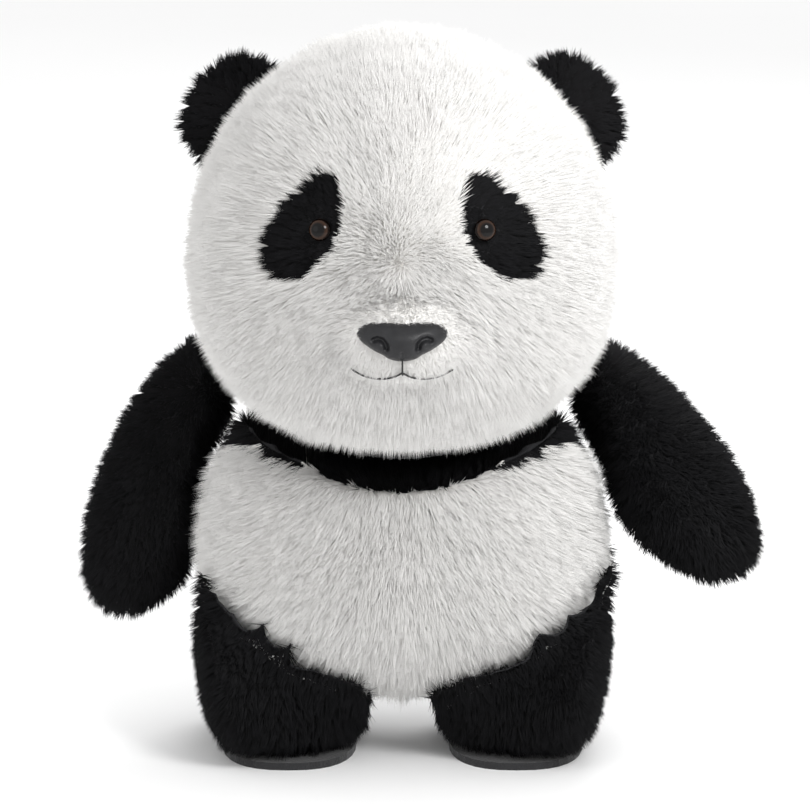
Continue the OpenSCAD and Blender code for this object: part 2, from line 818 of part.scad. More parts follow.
head_stuffing();
forehead_gusset();
chin_panel();
muzzle_pad();
nose();
nose_washer();
mouth_stitching();
neck_facing();
torso_stuffing();
belly_panel();
chest_yoke();
upper_back_panel();
lower_back_panel();
seat_panel();
tail_cover();
tail_stuffing();
closing_seam();
for (i = [0, 1]) {
    face(i);
    head_back(i);
    eye_patch(i);
    eye(i);
    eye_washer(i);
    ear_front(i);
    ear_back(i);
    armhole_facing(i);
    arm_outer(i);
    arm_inner(i);
    arm_stuffing(i);
    leg_front(i);
    leg_back(i);
    leg_stuffing(i);
    sole(i);
}
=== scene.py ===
import json
import math
import bmesh
import bpy
import numpy as np
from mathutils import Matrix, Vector
from mathutils.bvhtree import BVHTree


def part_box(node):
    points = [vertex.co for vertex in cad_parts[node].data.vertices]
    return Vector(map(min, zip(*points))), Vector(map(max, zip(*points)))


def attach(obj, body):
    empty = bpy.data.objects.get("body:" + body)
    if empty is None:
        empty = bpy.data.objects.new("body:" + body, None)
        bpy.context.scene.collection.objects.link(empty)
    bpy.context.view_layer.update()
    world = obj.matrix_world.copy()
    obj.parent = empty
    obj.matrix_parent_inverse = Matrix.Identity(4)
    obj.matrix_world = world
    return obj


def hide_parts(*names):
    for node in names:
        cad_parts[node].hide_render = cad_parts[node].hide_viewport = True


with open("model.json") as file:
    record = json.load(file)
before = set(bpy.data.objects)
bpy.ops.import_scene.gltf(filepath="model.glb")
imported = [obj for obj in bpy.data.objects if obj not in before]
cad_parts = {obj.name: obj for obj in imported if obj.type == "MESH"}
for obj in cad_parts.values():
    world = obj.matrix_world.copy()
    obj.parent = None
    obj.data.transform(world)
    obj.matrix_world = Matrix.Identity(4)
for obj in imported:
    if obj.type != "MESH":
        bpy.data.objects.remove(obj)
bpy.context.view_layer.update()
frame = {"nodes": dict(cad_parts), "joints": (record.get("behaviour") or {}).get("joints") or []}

cadNodes = frame["nodes"]
scene = bpy.context.scene
sides = ("right", "left")
mm = 0.001


def linked(name, mesh):
    thing = bpy.data.objects.new(name, mesh)
    scene.collection.objects.link(thing)
    return thing


def panelCopy(name, nodeNames):  # several CAD solids as one merged mesh
    form = bmesh.new()
    for nodeName in nodeNames:
        form.from_mesh(cadNodes[nodeName].data)
    bmesh.ops.remove_doubles(form, verts=form.verts, dist=1e-6)
    mesh = bpy.data.meshes.new(name)
    form.to_mesh(mesh)
    form.free()
    return linked(name, mesh)


def appliedMesh(thing):  # the mesh with its modifiers, as plain data
    graph = bpy.context.evaluated_depsgraph_get()
    return bpy.data.meshes.new_from_object(thing.evaluated_get(graph), depsgraph=graph)


def bakeModifiers(thing):
    mesh = appliedMesh(thing)
    thing.modifiers.clear()
    old = thing.data
    thing.data = mesh
    mesh.name = thing.name
    bpy.data.meshes.remove(old)
    return thing


def pointsOf(mesh):
    flat = np.empty(len(mesh.vertices) * 3, np.float32)
    mesh.vertices.foreach_get("co", flat)
    return flat.reshape(-1, 3).astype(np.float64)


def normalsOf(mesh):
    flat = np.empty(len(mesh.vertices) * 3, np.float32)
    mesh.vertex_normals.foreach_get("vector", flat)
    return flat.reshape(-1, 3).astype(np.float64)


def setPoints(mesh, points):
    mesh.vertices.foreach_set("co", points.astype(np.float32).ravel())
    mesh.update()


def smoothShade(mesh):
    mesh.polygons.foreach_set("use_smooth", [True] * len(mesh.polygons))


def keepLargestShell(mesh):  # drops the pockets that the remesh leaves inside
    form = bmesh.new()
    form.from_mesh(mesh)
    left = set(form.verts)
    shells = []
    while left:
        seed = left.pop()
        shell, front = [seed], [seed]
        while front:
            here = front.pop()
            for edge in here.link_edges:
                other = edge.other_vert(here)
                if other in left:
                    left.remove(other)
                    shell.append(other)
                    front.append(other)
        shells.append(shell)
    shells.sort(key=len)
    for shell in shells[:-1]:
        bmesh.ops.delete(form, geom=shell, context="VERTS")
    form.to_mesh(mesh)
    form.free()


def nodeTree(nodeName):  # to ask how far a point is from one CAD solid
    form = bmesh.new()
    form.from_mesh(cadNodes[nodeName].data)
    tree = BVHTree.FromBMesh(form)
    form.free()
    return tree


def meshTree(mesh):
    faces = [tuple(f.vertices) for f in mesh.polygons]
    return BVHTree.FromPolygons([tuple(p) for p in pointsOf(mesh)], faces)


def unit(rows, least=0.0):
    return rows / np.maximum(np.linalg.norm(rows, axis=1, keepdims=True), least)


def panelDistances(points, panels):
    trees = [nodeTree(name) for name in panels]
    out = np.empty((len(points), len(panels)))
    for i, point in enumerate(points):
        for j, tree in enumerate(trees):
            out[i, j] = tree.find_nearest(point)[3]
    return out


def newMaterial(name):
    material = bpy.data.materials.new(name)
    material.use_nodes = True
    tree = material.node_tree
    return material, tree, tree.nodes["Principled BSDF"]


def put(tree, kind, values=None, **settings):  # a node with its settings and its input values
    node = tree.nodes.new(kind)
    for key, value in settings.items():
        setattr(node, key, value)
    for key, value in (values or {}).items():
        node.inputs[key].default_value = value
    return node


def wire(tree, *links):
    for source, output, target, entry in links:
        tree.links.new(source.outputs[output], target.inputs[entry])


def ramp(tree, *stops):  # a colour ramp from (place, colour) pairs
    node = tree.nodes.new("ShaderNodeValToRGB")
    parts = node.color_ramp.elements
    for part, (place, colour) in zip((parts[0], parts[1]), (stops[0], stops[-1])):
        part.position = place
        part.color = (*colour, 1)
    for place, colour in stops[1:-1]:
        parts.new(place).color = (*colour, 1)
    return node


def setShader(shader, **values):
    for key, value in values.items():
        shader.inputs[key.replace("_", " ")].default_value = value


def clothGrainGroup():  # backing cloth: soft mottling and a fine knit bump
    tree = bpy.data.node_groups.new("clothGrain", "ShaderNodeTree")
    for name, inOut, kind in (
        ("Dark", "INPUT", "Color"), ("Light", "INPUT", "Color"), ("Knit scale", "INPUT", "Float"),
        ("Color", "OUTPUT", "Color"), ("Height", "OUTPUT", "Float"),
    ):
        tree.interface.new_socket(name=name, in_out=inOut, socket_type="NodeSocket" + kind)
    start = put(tree, "NodeGroupInput")
    end = put(tree, "NodeGroupOutput")
    place = put(tree, "ShaderNodeTexCoord")
    mottle = put(tree, "ShaderNodeTexNoise", {"Scale": 160, "Detail": 4})
    mix = put(tree, "ShaderNodeMix", data_type="RGBA")
    knit = put(tree, "ShaderNodeTexVoronoi")
    wire(tree, (place, "Object", mottle, "Vector"), (place, "Object", knit, "Vector"),
         (start, "Knit scale", knit, "Scale"), (mottle, "Fac", mix, "Factor"), (start, "Dark", mix, "A"),
         (start, "Light", mix, "B"), (mix, "Result", end, "Color"), (knit, "Distance", end, "Height"))
    return tree


clothGrain = clothGrainGroup()


def clothMaterial(name, dark, light, knitScale=900.0, rough=0.95, bump=0.35, sheen=0.0):
    material, tree, shader = newMaterial(name)
    grain = put(tree, "ShaderNodeGroup", node_tree=clothGrain)
    grain.inputs["Dark"].default_value = (*dark, 1)
    grain.inputs["Light"].default_value = (*light, 1)
    grain.inputs["Knit scale"].default_value = knitScale
    relief = put(tree, "ShaderNodeBump", {"Strength": bump, "Distance": 0.4 * mm})
    wire(tree, (grain, "Color", shader, "Base Color"), (grain, "Height", relief, "Height"),
         (relief, "Normal", shader, "Normal"))
    setShader(shader, Roughness=rough, Sheen_Weight=sheen)
    return material


def pileMaterial(name, root, tip, toneSpread, rough, specular):
    # the colour runs from a darker root to the tip along V, the darker root being painted shade deep in the
    # pile, and each strand has its own tone along U
    material, tree, shader = newMaterial(name)
    strandMap = put(tree, "ShaderNodeUVMap", uv_map="OFBake")
    split = put(tree, "ShaderNodeSeparateXYZ")
    colour = ramp(tree, (0.05, root), (0.7, tip))
    tone = put(tree, "ShaderNodeMapRange", {"To Min": 1 - toneSpread, "To Max": 1.0})
    scale = put(tree, "ShaderNodeVectorMath", operation="SCALE")
    wire(tree, (strandMap, "UV", split, "Vector"), (split, "Y", colour, "Fac"), (split, "X", tone, "Value"),
         (colour, "Color", scale, "Vector"), (tone, "Result", scale, "Scale"),
         (scale, "Vector", shader, "Base Color"))
    setShader(shader, Roughness=rough, Specular_IOR_Level=specular)
    return material


whiteCloth = clothMaterial("whiteBacking", (0.83, 0.815, 0.785), (0.87, 0.855, 0.825))
blackCloth = clothMaterial("blackBacking", (0.006, 0.006, 0.007), (0.012, 0.012, 0.014))
fibreFill = clothMaterial("fibreFilling", (0.74, 0.74, 0.72), (0.9, 0.9, 0.88), 300.0, 1.0, 0.8)
liningCloth = clothMaterial("liningCloth", (0.008, 0.008, 0.009), (0.02, 0.02, 0.022), 1400.0)
soleCloth = clothMaterial("soleCloth", (0.008, 0.008, 0.009), (0.02, 0.02, 0.022), 1100.0, 0.9, 0.5, 0.2)
washerPlastic = clothMaterial("washerPlastic", (0.66, 0.66, 0.64), (0.72, 0.72, 0.7), 200.0, 0.45, 0.04)
# each pile's first colour is its root's, darker than its tip as painted shade deep in the pile
whitePile = pileMaterial("whitePile", (0.89, 0.875, 0.85), (0.93, 0.92, 0.9), 0.04, 0.85, 0.15)
blackPile = pileMaterial("blackPile", (0.002, 0.002, 0.0025), (0.0075, 0.0075, 0.009), 0.5, 0.7, 0.16)

print("materials made")


def seamPins(points, panels, reach):  # 1 on a seam, falling to 0 away from it
    away = panelDistances(points, panels)
    order = np.sort(away, axis=1)
    step = order[:, 1] - order[:, 0] if len(panels) > 1 else np.full(len(points), 1.0)
    return np.clip(1 - step / reach, 0, 1)


stuffing = {"mostInset": 0.36, "rayStart": 0.2 * mm, "evenRounds": 4, "heldFrom": 0.3, "frames": 20}
clothSettings = {"quality": 4, "mass": 0.15, "tension_stiffness": 12, "compression_stiffness": 12,
                 "bending_stiffness": 1.5, "use_pressure": True, "vertex_group_mass": "seams"}


def stuffedCover(name, body, panels, fillings, values):
    form = panelCopy(name, panels + fillings)
    remesh = form.modifiers.new("even", "REMESH")
    remesh.mode = "VOXEL"
    remesh.voxel_size = values["voxel"]
    bakeModifiers(form)
    keepLargestShell(form.data)
    soften = form.modifiers.new("soften", "SMOOTH")
    soften.factor = 0.5
    soften.iterations = values["softenSteps"]
    bakeModifiers(form)
    mesh = form.data
    depth = np.full(len(mesh.vertices), values["pileDepth"] + values["swell"])
    if "frontDepth" in values:
        front = np.clip((-normalsOf(mesh)[:, 1] - values["frontFrom"]) / values["frontOver"], 0, 1)
        depth += front * (values["frontDepth"] - depth)
        away = nearNodes(pointsOf(mesh), ["eye_right", "eye_left"])
        near = np.clip(1 - away / values["patchReach"], 0, 1)
        depth -= np.minimum(1, near * 2) * values["patchRise"]
    sinkIn(mesh, depth, stuffing["mostInset"])
    pins = seamPins(pointsOf(mesh), panels, values["seamReach"])
    inflate(form, pins, values)
    points = pointsOf(mesh) - normalsOf(mesh) * (pins * values["seamDip"])[:, None]
    points[:, 2] = np.maximum(points[:, 2], values["lowest"])
    setPoints(mesh, points)
    inner = mesh.copy()
    finer = form.modifiers.new("finer", "SUBSURF")
    finer.levels = finer.render_levels = 1
    bakeModifiers(form)
    smoothShade(form.data)
    if fillings:
        makeFilling(form, inner, body, fillings)
    return form


def sinkIn(mesh, depth, most):  # moves the skin inward, by less where the form is thin
    points, normals = pointsOf(mesh), normalsOf(mesh)
    tree = meshTree(mesh)
    sink = np.empty(len(points))
    for i, (point, normal) in enumerate(zip(points, normals)):
        thick = tree.ray_cast(Vector(point - normal * stuffing["rayStart"]), Vector(-normal))[3]
        sink[i] = min(depth[i], most * thick) if thick else depth[i]
    pairs = np.array([tuple(e.vertices) for e in mesh.edges])
    for _ in range(stuffing["evenRounds"]):
        total, count = sink.copy(), np.ones(len(points))
        for a, b in ((0, 1), (1, 0)):
            np.add.at(total, pairs[:, a], sink[pairs[:, b]])
            np.add.at(count, pairs[:, a], 1)
        sink = np.minimum(sink, total / count)
    setPoints(mesh, points - normals * sink[:, None])


fillingShape = {"inset": 1.5 * mm, "most": 0.3, "least": 1.2 * mm, "softenSteps": 25, "size": 0.93}


def makeFilling(cover, inner, body, fillings):  # the fibre inside, following its cover
    piece = linked(cover.name.replace("Cover", "Filling"), inner)
    soften = piece.modifiers.new("soften", "SMOOTH")
    soften.factor = 0.5
    soften.iterations = fillingShape["softenSteps"]
    inner = bakeModifiers(piece).data
    sinkIn(inner, np.full(len(inner.vertices), fillingShape["inset"]), fillingShape["most"])
    outside = meshTree(cover.data)
    points = pointsOf(inner)
    points = points.mean(axis=0) + (points - points.mean(axis=0)) * fillingShape["size"]
    for i, point in enumerate(points):
        spot, way, _, _ = outside.find_nearest(Vector(point))
        if (Vector(point) - spot).dot(way) > -fillingShape["least"]:
            points[i] = spot - way * fillingShape["least"]
    setPoints(inner, points)
    smoothShade(inner)
    inner.materials.clear()
    inner.materials.append(fibreFill)
    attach(piece, body)
    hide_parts(*fillings)


def inflate(form, pins, values):  # the filling's pressure, with the seams held
    held = form.vertex_groups.new(name="seams")
    for i in np.nonzero(pins > stuffing["heldFrom"])[0]:
        held.add([int(i)], float(pins[i]), "REPLACE")
    cloth = form.modifiers.new("cloth", "CLOTH")
    for key, value in clothSettings.items():
        setattr(cloth.settings, key, value)
    cloth.settings.uniform_pressure_force = values["pressure"]
    cloth.settings.effector_weights.gravity = 0
    cloth.collision_settings.use_collision = False
    before = pointsOf(form.data)
    for step in range(1, stuffing["frames"] + 1):
        scene.frame_set(step)
    blown = appliedMesh(form)
    after = pointsOf(blown)
    bpy.data.meshes.remove(blown)
    form.modifiers.clear()
    form.vertex_groups.clear()
    scene.frame_set(1)
    move = after - before
    far = np.linalg.norm(move, axis=1, keepdims=True)
    move *= np.minimum(1, values["mostMove"] / np.maximum(far, 1e-9))
    setPoints(form.data, before + move)


strandShape = {"half": 0.5 * mm, "length": 10 * mm}
strandTriangles = 3
mostTriangles = 190000


def makeStrand():  # a thin three-sided spike, standing on its root
    corners = ((-1.0, 0.0), (1.0, 0.0), (0.0, 1.0))
    points = [(u * strandShape["half"], up * strandShape["half"], 0) for u, up in corners]
    points.append((0, 0, strandShape["length"]))
    faces = [(c, (c + 1) % 3, 3) for c in range(3)]
    mesh = bpy.data.meshes.new("strandShape")
    mesh.from_pydata(points, [], faces)
    for attrName, values in (
        ("strandAlong", (0.0, 0.0, 0.0, 1.0)), ("strandAcross", (-1.0, 1.0, 0.0, 0.0)),
        ("strandRaised", (0.0, 0.0, 1.0, 0.0)),
    ):
        mesh.attributes.new(attrName, "FLOAT", "POINT").data.foreach_set("value", values)
    thing = linked("strandShape", mesh)
    thing.hide_render = True
    return thing


strand = makeStrand()


class TreeMaker:  # shortens the wiring of one Geometry Nodes tree
    def __init__(self, name):
        self.tree = bpy.data.node_groups.new(name, "GeometryNodeTree")

    def node(self, kind, **settings):
        made = self.tree.nodes.new(kind)
        for key, value in settings.items():
            setattr(made, key, value)
        return made

    def link(self, source, target):
        self.tree.links.new(source, target)

    def put(self, target, value):
        if hasattr(value, "is_output"):
            self.link(value, target)
        else:
            target.default_value = value

    def vec(self, operation, a, b=None, scale=None):
        made = self.node("ShaderNodeVectorMath", operation=operation)
        self.put(made.inputs[0], a)
        if b is not None:
            self.put(made.inputs[1], b)
        if scale is not None:
            self.put(made.inputs["Scale"], scale)
        return made.outputs["Value"] if operation == "DOT_PRODUCT" else made.outputs["Vector"]

    def num(self, operation, a, b=0.0):
        made = self.node("ShaderNodeMath", operation=operation)
        self.put(made.inputs[0], a)
        self.put(made.inputs[1], b)
        return made.outputs["Value"]

    def named(self, kind, name):
        made = self.node("GeometryNodeInputNamedAttribute", data_type=kind)
        made.inputs["Name"].default_value = name
        return made.outputs["Attribute"]

    def opened(self, inputs):  # the group's sockets, and the nodes it starts and ends with
        face = self.tree.interface
        for inputName, kind in {"Geometry": "Geometry", **inputs}.items():
            face.new_socket(name=inputName, in_out="INPUT", socket_type="NodeSocket" + kind)
        face.new_socket(name="Geometry", in_out="OUTPUT", socket_type="NodeSocketGeometry")
        return self.node("NodeGroupInput"), self.node("NodeGroupOutput")

    def randomVector(self, most, seed):
        made = self.node("FunctionNodeRandomValue", data_type="FLOAT_VECTOR")
        made.inputs["Min"].default_value = (-most, -most, -most)
        made.inputs["Max"].default_value = (most, most, most)
        self.put(made.inputs["Seed"], seed)
        return made.outputs[0]

    def randomShare(self, seed):
        made = self.node("FunctionNodeRandomValue", data_type="FLOAT")
        made.inputs[2].default_value = 0.0
        made.inputs[3].default_value = 1.0
        self.put(made.inputs["Seed"], seed)
        return made.outputs[1]

    def store(self, geometry, kind, name, value):
        made = self.node("GeometryNodeStoreNamedAttribute", data_type=kind, domain="POINT")
        made.inputs["Name"].default_value = name
        self.put(made.inputs["Value"], value)
        self.put(made.inputs["Geometry"], geometry)
        return made.outputs["Geometry"]


pileInputs = {
    "density": "Float", "length": "Float", "lengthSpread": "Float", "width": "Float", "lean": "Float",
    "sway": "Float", "swaySize": "Float", "clump": "Float", "clumpSize": "Float", "droop": "Float",
    "seed": "Int", "strand": "Object", "material": "Material",
}
pileShape = {"single": 0.16, "spin": 0.8, "shortTuft": 0.8, "tuftSpread": 0.3, "swayDetail": 1.5,
             "tuftTone": 0.5, "pullCurve": 1.4, "droopCurve": 2.0, "halfWidth": 0.5, "height": 0.7}


def makePileTree():
    t = TreeMaker("pile")
    start, end = t.opened(pileInputs)
    given, form = start.outputs, pileShape
    scatter = t.node("GeometryNodeDistributePointsOnFaces", distribute_method="RANDOM")
    here = t.node("GeometryNodeInputPosition").outputs["Position"]
    skinWay = t.vec("NORMALIZE", t.named("FLOAT_VECTOR", "skinWay"))
    comb = t.named("FLOAT_VECTOR", "comb")
    pile = t.named("FLOAT", "pileShare")

    # slow sway: neighbours lean the same way
    swayNoise = t.node("ShaderNodeTexNoise", noise_dimensions="3D")
    t.link(here, swayNoise.inputs["Vector"])
    t.put(swayNoise.inputs["Scale"], t.num("DIVIDE", 1.0, given["swaySize"]))
    swayNoise.inputs["Detail"].default_value = form["swayDetail"]
    sway = t.vec("SUBTRACT", swayNoise.outputs["Color"], (0.5, 0.5, 0.5))
    sway = t.vec("SCALE", sway, scale=t.num("MULTIPLY", given["sway"], 2.0))

    way = t.vec("ADD", skinWay, t.vec("SCALE", comb, scale=given["lean"]))
    way = t.vec("ADD", way, sway)
    way = t.vec("ADD", way, t.randomVector(form["single"], given["seed"]))
    way = t.vec("NORMALIZE", way)

    # tufts: strands are drawn toward the middle of their cell
    cell = t.node("ShaderNodeTexVoronoi", voronoi_dimensions="3D", feature="F1")
    t.link(here, cell.inputs["Vector"])
    t.put(cell.inputs["Scale"], t.num("DIVIDE", 1.0, given["clumpSize"]))
    pull = t.vec("SUBTRACT", cell.outputs["Position"], here)
    along = t.vec("DOT_PRODUCT", pull, skinWay)
    pull = t.vec("SUBTRACT", pull, t.vec("SCALE", skinWay, scale=along))
    pull = t.vec("SCALE", pull, scale=given["clump"])

    tuft = t.node("ShaderNodeSeparateXYZ")
    t.link(cell.outputs["Color"], tuft.inputs["Vector"])
    shorter = t.num("MULTIPLY", t.randomShare(t.num("ADD", given["seed"], 7.0)), given["lengthSpread"])
    shorter = t.num("SUBTRACT", 1.0, shorter)
    tuftLength = t.num("ADD", t.num("MULTIPLY", tuft.outputs["X"], form["tuftSpread"]), form["shortTuft"])
    length = t.num("MULTIPLY", given["length"], shorter)
    length = t.num("MULTIPLY", length, t.num("MULTIPLY", tuftLength, pile))

    ownTone = t.num("MULTIPLY", t.randomShare(t.num("ADD", given["seed"], 13.0)), 1 - form["tuftTone"])
    tone = t.num("ADD", ownTone, t.num("MULTIPLY", tuft.outputs["Y"], form["tuftTone"]))

    turned = t.vec("ADD", skinWay, t.randomVector(form["spin"], t.num("ADD", given["seed"], 3.0)))
    across = t.vec("NORMALIZE", t.vec("CROSS_PRODUCT", turned, way))
    raised = t.vec("CROSS_PRODUCT", way, across)

    shown = scatter.outputs["Points"]
    for kind, name, value in (
        ("FLOAT_VECTOR", "rootPlace", here), ("FLOAT_VECTOR", "strandWay", t.vec("SCALE", way, scale=length)),
        ("FLOAT_VECTOR", "strandPull", pull), ("FLOAT_VECTOR", "strandSide", across),
        ("FLOAT_VECTOR", "strandRise", raised), ("FLOAT_VECTOR", "strandSkin", skinWay),
        ("FLOAT", "strandTone", tone), ("FLOAT", "strandLength", length),
    ):
        shown = t.store(shown, kind, name, value)

    # each strand's points are laid from its root: out, drawn into the tuft, then drooping
    v = t.named("FLOAT", "strandAlong")
    out = t.vec("SCALE", t.named("FLOAT_VECTOR", "strandWay"), scale=v)
    drawn = t.vec("SCALE", t.named("FLOAT_VECTOR", "strandPull"), scale=t.num("POWER", v, form["pullCurve"]))
    sides = []
    for wayName, shareName, widthShare in (
        ("strandSide", "strandAcross", form["halfWidth"]), ("strandRise", "strandRaised", form["height"]),
    ):
        reach = t.num("MULTIPLY", t.named("FLOAT", shareName), t.num("MULTIPLY", given["width"], widthShare))
        sides.append(t.vec("SCALE", t.named("FLOAT_VECTOR", wayName), scale=reach))
    side = t.vec("ADD", *sides)
    fall = t.num("MULTIPLY", t.num("POWER", v, form["droopCurve"]), t.named("FLOAT", "strandLength"))
    sag = t.vec("SCALE", (0.0, 0.0, -1.0), scale=t.num("MULTIPLY", fall, given["droop"]))
    spot = t.vec("ADD", t.named("FLOAT_VECTOR", "rootPlace"), out)
    spot = t.vec("ADD", spot, t.vec("ADD", t.vec("ADD", drawn, side), sag))

    shape = t.node("GeometryNodeObjectInfo")
    place = t.node("GeometryNodeInstanceOnPoints")
    real = t.node("GeometryNodeRealizeInstances")
    lay = t.node("GeometryNodeSetPosition")
    paint = t.node("GeometryNodeSetMaterial")
    t.link(shown, place.inputs["Points"])
    t.link(spot, lay.inputs["Position"])
    wire(t.tree, (start, "Geometry", scatter, "Mesh"), (start, "density", scatter, "Density"),
         (start, "seed", scatter, "Seed"), (start, "strand", shape, "Object"),
         (shape, "Geometry", place, "Instance"), (place, "Instances", real, "Geometry"),
         (real, "Geometry", lay, "Geometry"), (lay, "Geometry", paint, "Geometry"),
         (start, "material", paint, "Material"), (paint, "Geometry", end, "Geometry"))
    return t.tree


def inputIds(tree):
    return {item.name: item.identifier for item in tree.interface.items_tree if item.in_out == "INPUT"}


pileTree = makePileTree()
pileId = inputIds(pileTree)


def scalpOf(name, cover, faceMask, comb, pileShare):  # the part of a cover that one pile grows on
    mesh = cover.data
    points, normals = pointsOf(mesh), normalsOf(mesh)
    faces = [tuple(p.vertices) for p, keep in zip(mesh.polygons, faceMask) if keep]
    used = np.unique(np.concatenate([np.array(f) for f in faces]))
    number = np.full(len(points), -1)
    number[used] = np.arange(len(used))
    patch = bpy.data.meshes.new(name)
    patch.from_pydata(points[used].tolist(), [], [tuple(int(number[k]) for k in f) for f in faces])
    for attrName, kind, valuesArray in (
        ("skinWay", "FLOAT_VECTOR", normals[used]), ("comb", "FLOAT_VECTOR", comb[used]),
        ("pileShare", "FLOAT", pileShare[used]),
    ):
        attr = patch.attributes.new(attrName, kind, "POINT")
        field = "vector" if kind == "FLOAT_VECTOR" else "value"
        attr.data.foreach_set(field, valuesArray.astype(np.float32).ravel())
    return linked(name, patch)


def growPile(name, scalp, values, seed, material, body):
    area = sum(p.area for p in scalp.data.polygons)
    density = min(values["density"], mostTriangles / strandTriangles / area)
    grow = scalp.modifiers.new("pile", "NODES")
    grow.node_group = pileTree
    settings = {**values, "density": density, "seed": seed, "strand": strand, "material": material}
    for key, value in settings.items():
        grow[pileId[key]] = value
    mesh = appliedMesh(scalp)
    mesh.name = name
    finishStrands(mesh)
    piece = linked(name, mesh)
    if not mesh.materials:
        mesh.materials.append(material)
    bare = scalp.data
    bpy.data.objects.remove(scalp)
    bpy.data.meshes.remove(bare)
    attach(piece, body)
    print(name, "triangles", sum(len(p.vertices) - 2 for p in mesh.polygons))
    return piece


def readAttribute(mesh, name, width):
    attr = mesh.attributes[name]
    flat = np.empty(len(attr.data) * width, np.float32)
    attr.data.foreach_get("vector" if width == 3 else "value", flat)
    return flat.reshape(-1, width) if width == 3 else flat


strandFinish = {"lowest": 0.3 * mm, "mapEdge": 0.02, "mapSpan": 0.96, "mapWidth": 0.002, "lift": 0.2}


def finishStrands(mesh):  # the strand map, soft normals, and nothing else left on the mesh
    tone = readAttribute(mesh, "strandTone", 1)
    along = readAttribute(mesh, "strandAlong", 1)
    across = readAttribute(mesh, "strandAcross", 1)
    skin = readAttribute(mesh, "strandSkin", 3)
    way = readAttribute(mesh, "strandWay", 3)
    corner = np.empty(len(mesh.loops), np.int32)
    mesh.loops.foreach_get("vertex_index", corner)
    points = pointsOf(mesh)
    points[:, 2] = np.maximum(points[:, 2], strandFinish["lowest"])
    setPoints(mesh, points)
    edge, span = strandFinish["mapEdge"], strandFinish["mapSpan"]
    u = edge + span * tone + strandFinish["mapWidth"] * across
    uv = np.stack([u, edge + span * along], axis=1)[corner]
    layer = mesh.uv_layers.new(name="OFBake")
    layer.data.foreach_set("uv", uv.astype(np.float32).ravel())
    unitWay = unit(way, 1e-9)
    lift = unit(skin - unitWay * (skin * unitWay).sum(axis=1, keepdims=True), 1e-6)
    soft = unit(skin + lift * strandFinish["lift"])
    for name in ("rootPlace", "strandWay", "strandPull", "strandSide", "strandRise", "strandSkin", "strandTone",
                 "strandLength", "strandAlong", "strandAcross", "strandRaised"):
        mesh.attributes.remove(mesh.attributes[name])
    smoothShade(mesh)
    mesh.normals_split_custom_set_from_vertices(soft.tolist())


def tangentComb(normals, flow):  # a flow laid along the skin
    lying = flow - normals * (flow * normals).sum(axis=1, keepdims=True)
    size = np.linalg.norm(lying, axis=1, keepdims=True)
    return lying / np.maximum(size, 0.25)


def nearNodes(points, nodeNames):
    trees = [nodeTree(n) for n in nodeNames]
    return np.array([min(tree.find_nearest(p)[3] for tree in trees) for p in points])


def faceCentres(mesh):
    flat = np.empty(len(mesh.polygons) * 3, np.float32)
    mesh.polygons.foreach_get("center", flat)
    return flat.reshape(-1, 3).astype(np.float64)


def dress(form, panels, blackPanels, wider={}):  # each face takes the cloth of the panel it belongs to
    away = panelDistances(faceCentres(form.data), panels)
    zone = (away - [wider.get(name, 0.0) for name in panels]).argmin(axis=1)
    dark = np.array([name in blackPanels for name in panels])[zone]
    form.data.materials.clear()
    form.data.materials.append(whiteCloth)
    form.data.materials.append(blackCloth)
    form.data.polygons.foreach_set("material_index", dark.astype(np.int32))
    form.data.update()
    return zone


def underCover(mesh, nodeNames, reach):  # faces that another piece covers
    trees = [nodeTree(n) for n in nodeNames]
    out = np.zeros(len(mesh.polygons), bool)
    for i, polygon in enumerate(mesh.polygons):
        start, way = Vector(polygon.center), Vector(polygon.normal)
        out[i] = any(tree.ray_cast(start, way, reach)[0] is not None for tree in trees)
    return out


def finishCover(form, body, panels):
    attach(form, body)
    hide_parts(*panels)
    print(form.name, "faces", len(form.data.polygons))


def share(distance, bare, full, least):  # pile length near something it must not hide
    return np.clip((distance - bare) / (full - bare), 0, 1) * (1 - least) + least


whiteLook = {"density": 3.8e6, "length": 11 * mm, "lengthSpread": 0.45, "width": 0.42 * mm, "lean": 0.42,
             "sway": 0.34, "swaySize": 0.013, "clump": 0.26, "clumpSize": 0.0036, "droop": 0.12}
blackLook = {"density": 3.1e6, "length": 7.5 * mm, "lengthSpread": 0.45, "width": 0.46 * mm, "lean": 0.5,
             "sway": 0.5, "swaySize": 0.011, "clump": 0.5, "clumpSize": 0.004, "droop": 0.08}


def lookWith(look, **changes):
    return {**look, **changes}


headCover = {"voxel": 4.5 * mm, "softenSteps": 4, "pileDepth": 6.5 * mm, "swell": 1.2 * mm, "seamReach": 5 * mm,
             "pressure": 4.0, "mostMove": 1.8 * mm, "seamDip": 0.5 * mm, "lowest": -1.0,
             "frontDepth": 2.6 * mm, "frontFrom": 0.3, "frontOver": 0.35,
             "patchRise": 1.6 * mm, "patchReach": 26 * mm}
headPanels = ["face_right", "face_left", "head_back_right", "head_back_left", "forehead_gusset", "chin_panel",
              "muzzle_pad"]
head = stuffedCover("headCover", "head", headPanels, ["head_stuffing"], headCover)
headZone = dress(head, headPanels, [])
headPoints, headNormals = pointsOf(head.data), normalsOf(head.data)
eyePatchTrees = [nodeTree("eye_patch_" + s) for s in sides]
centres = faceCentres(head.data)
polygonNormals = np.array([tuple(p.normal) for p in head.data.polygons])
patchSide = np.full(len(centres), -1)
for i, (centre, normal) in enumerate(zip(centres, polygonNormals)):
    for k, tree in enumerate(eyePatchTrees):
        if tree.ray_cast(Vector(centre), Vector(normal), 0.02)[0] is not None:
            patchSide[i] = k
head.data.polygons.foreach_set("material_index", (patchSide >= 0).astype(np.int32))
head.data.update()

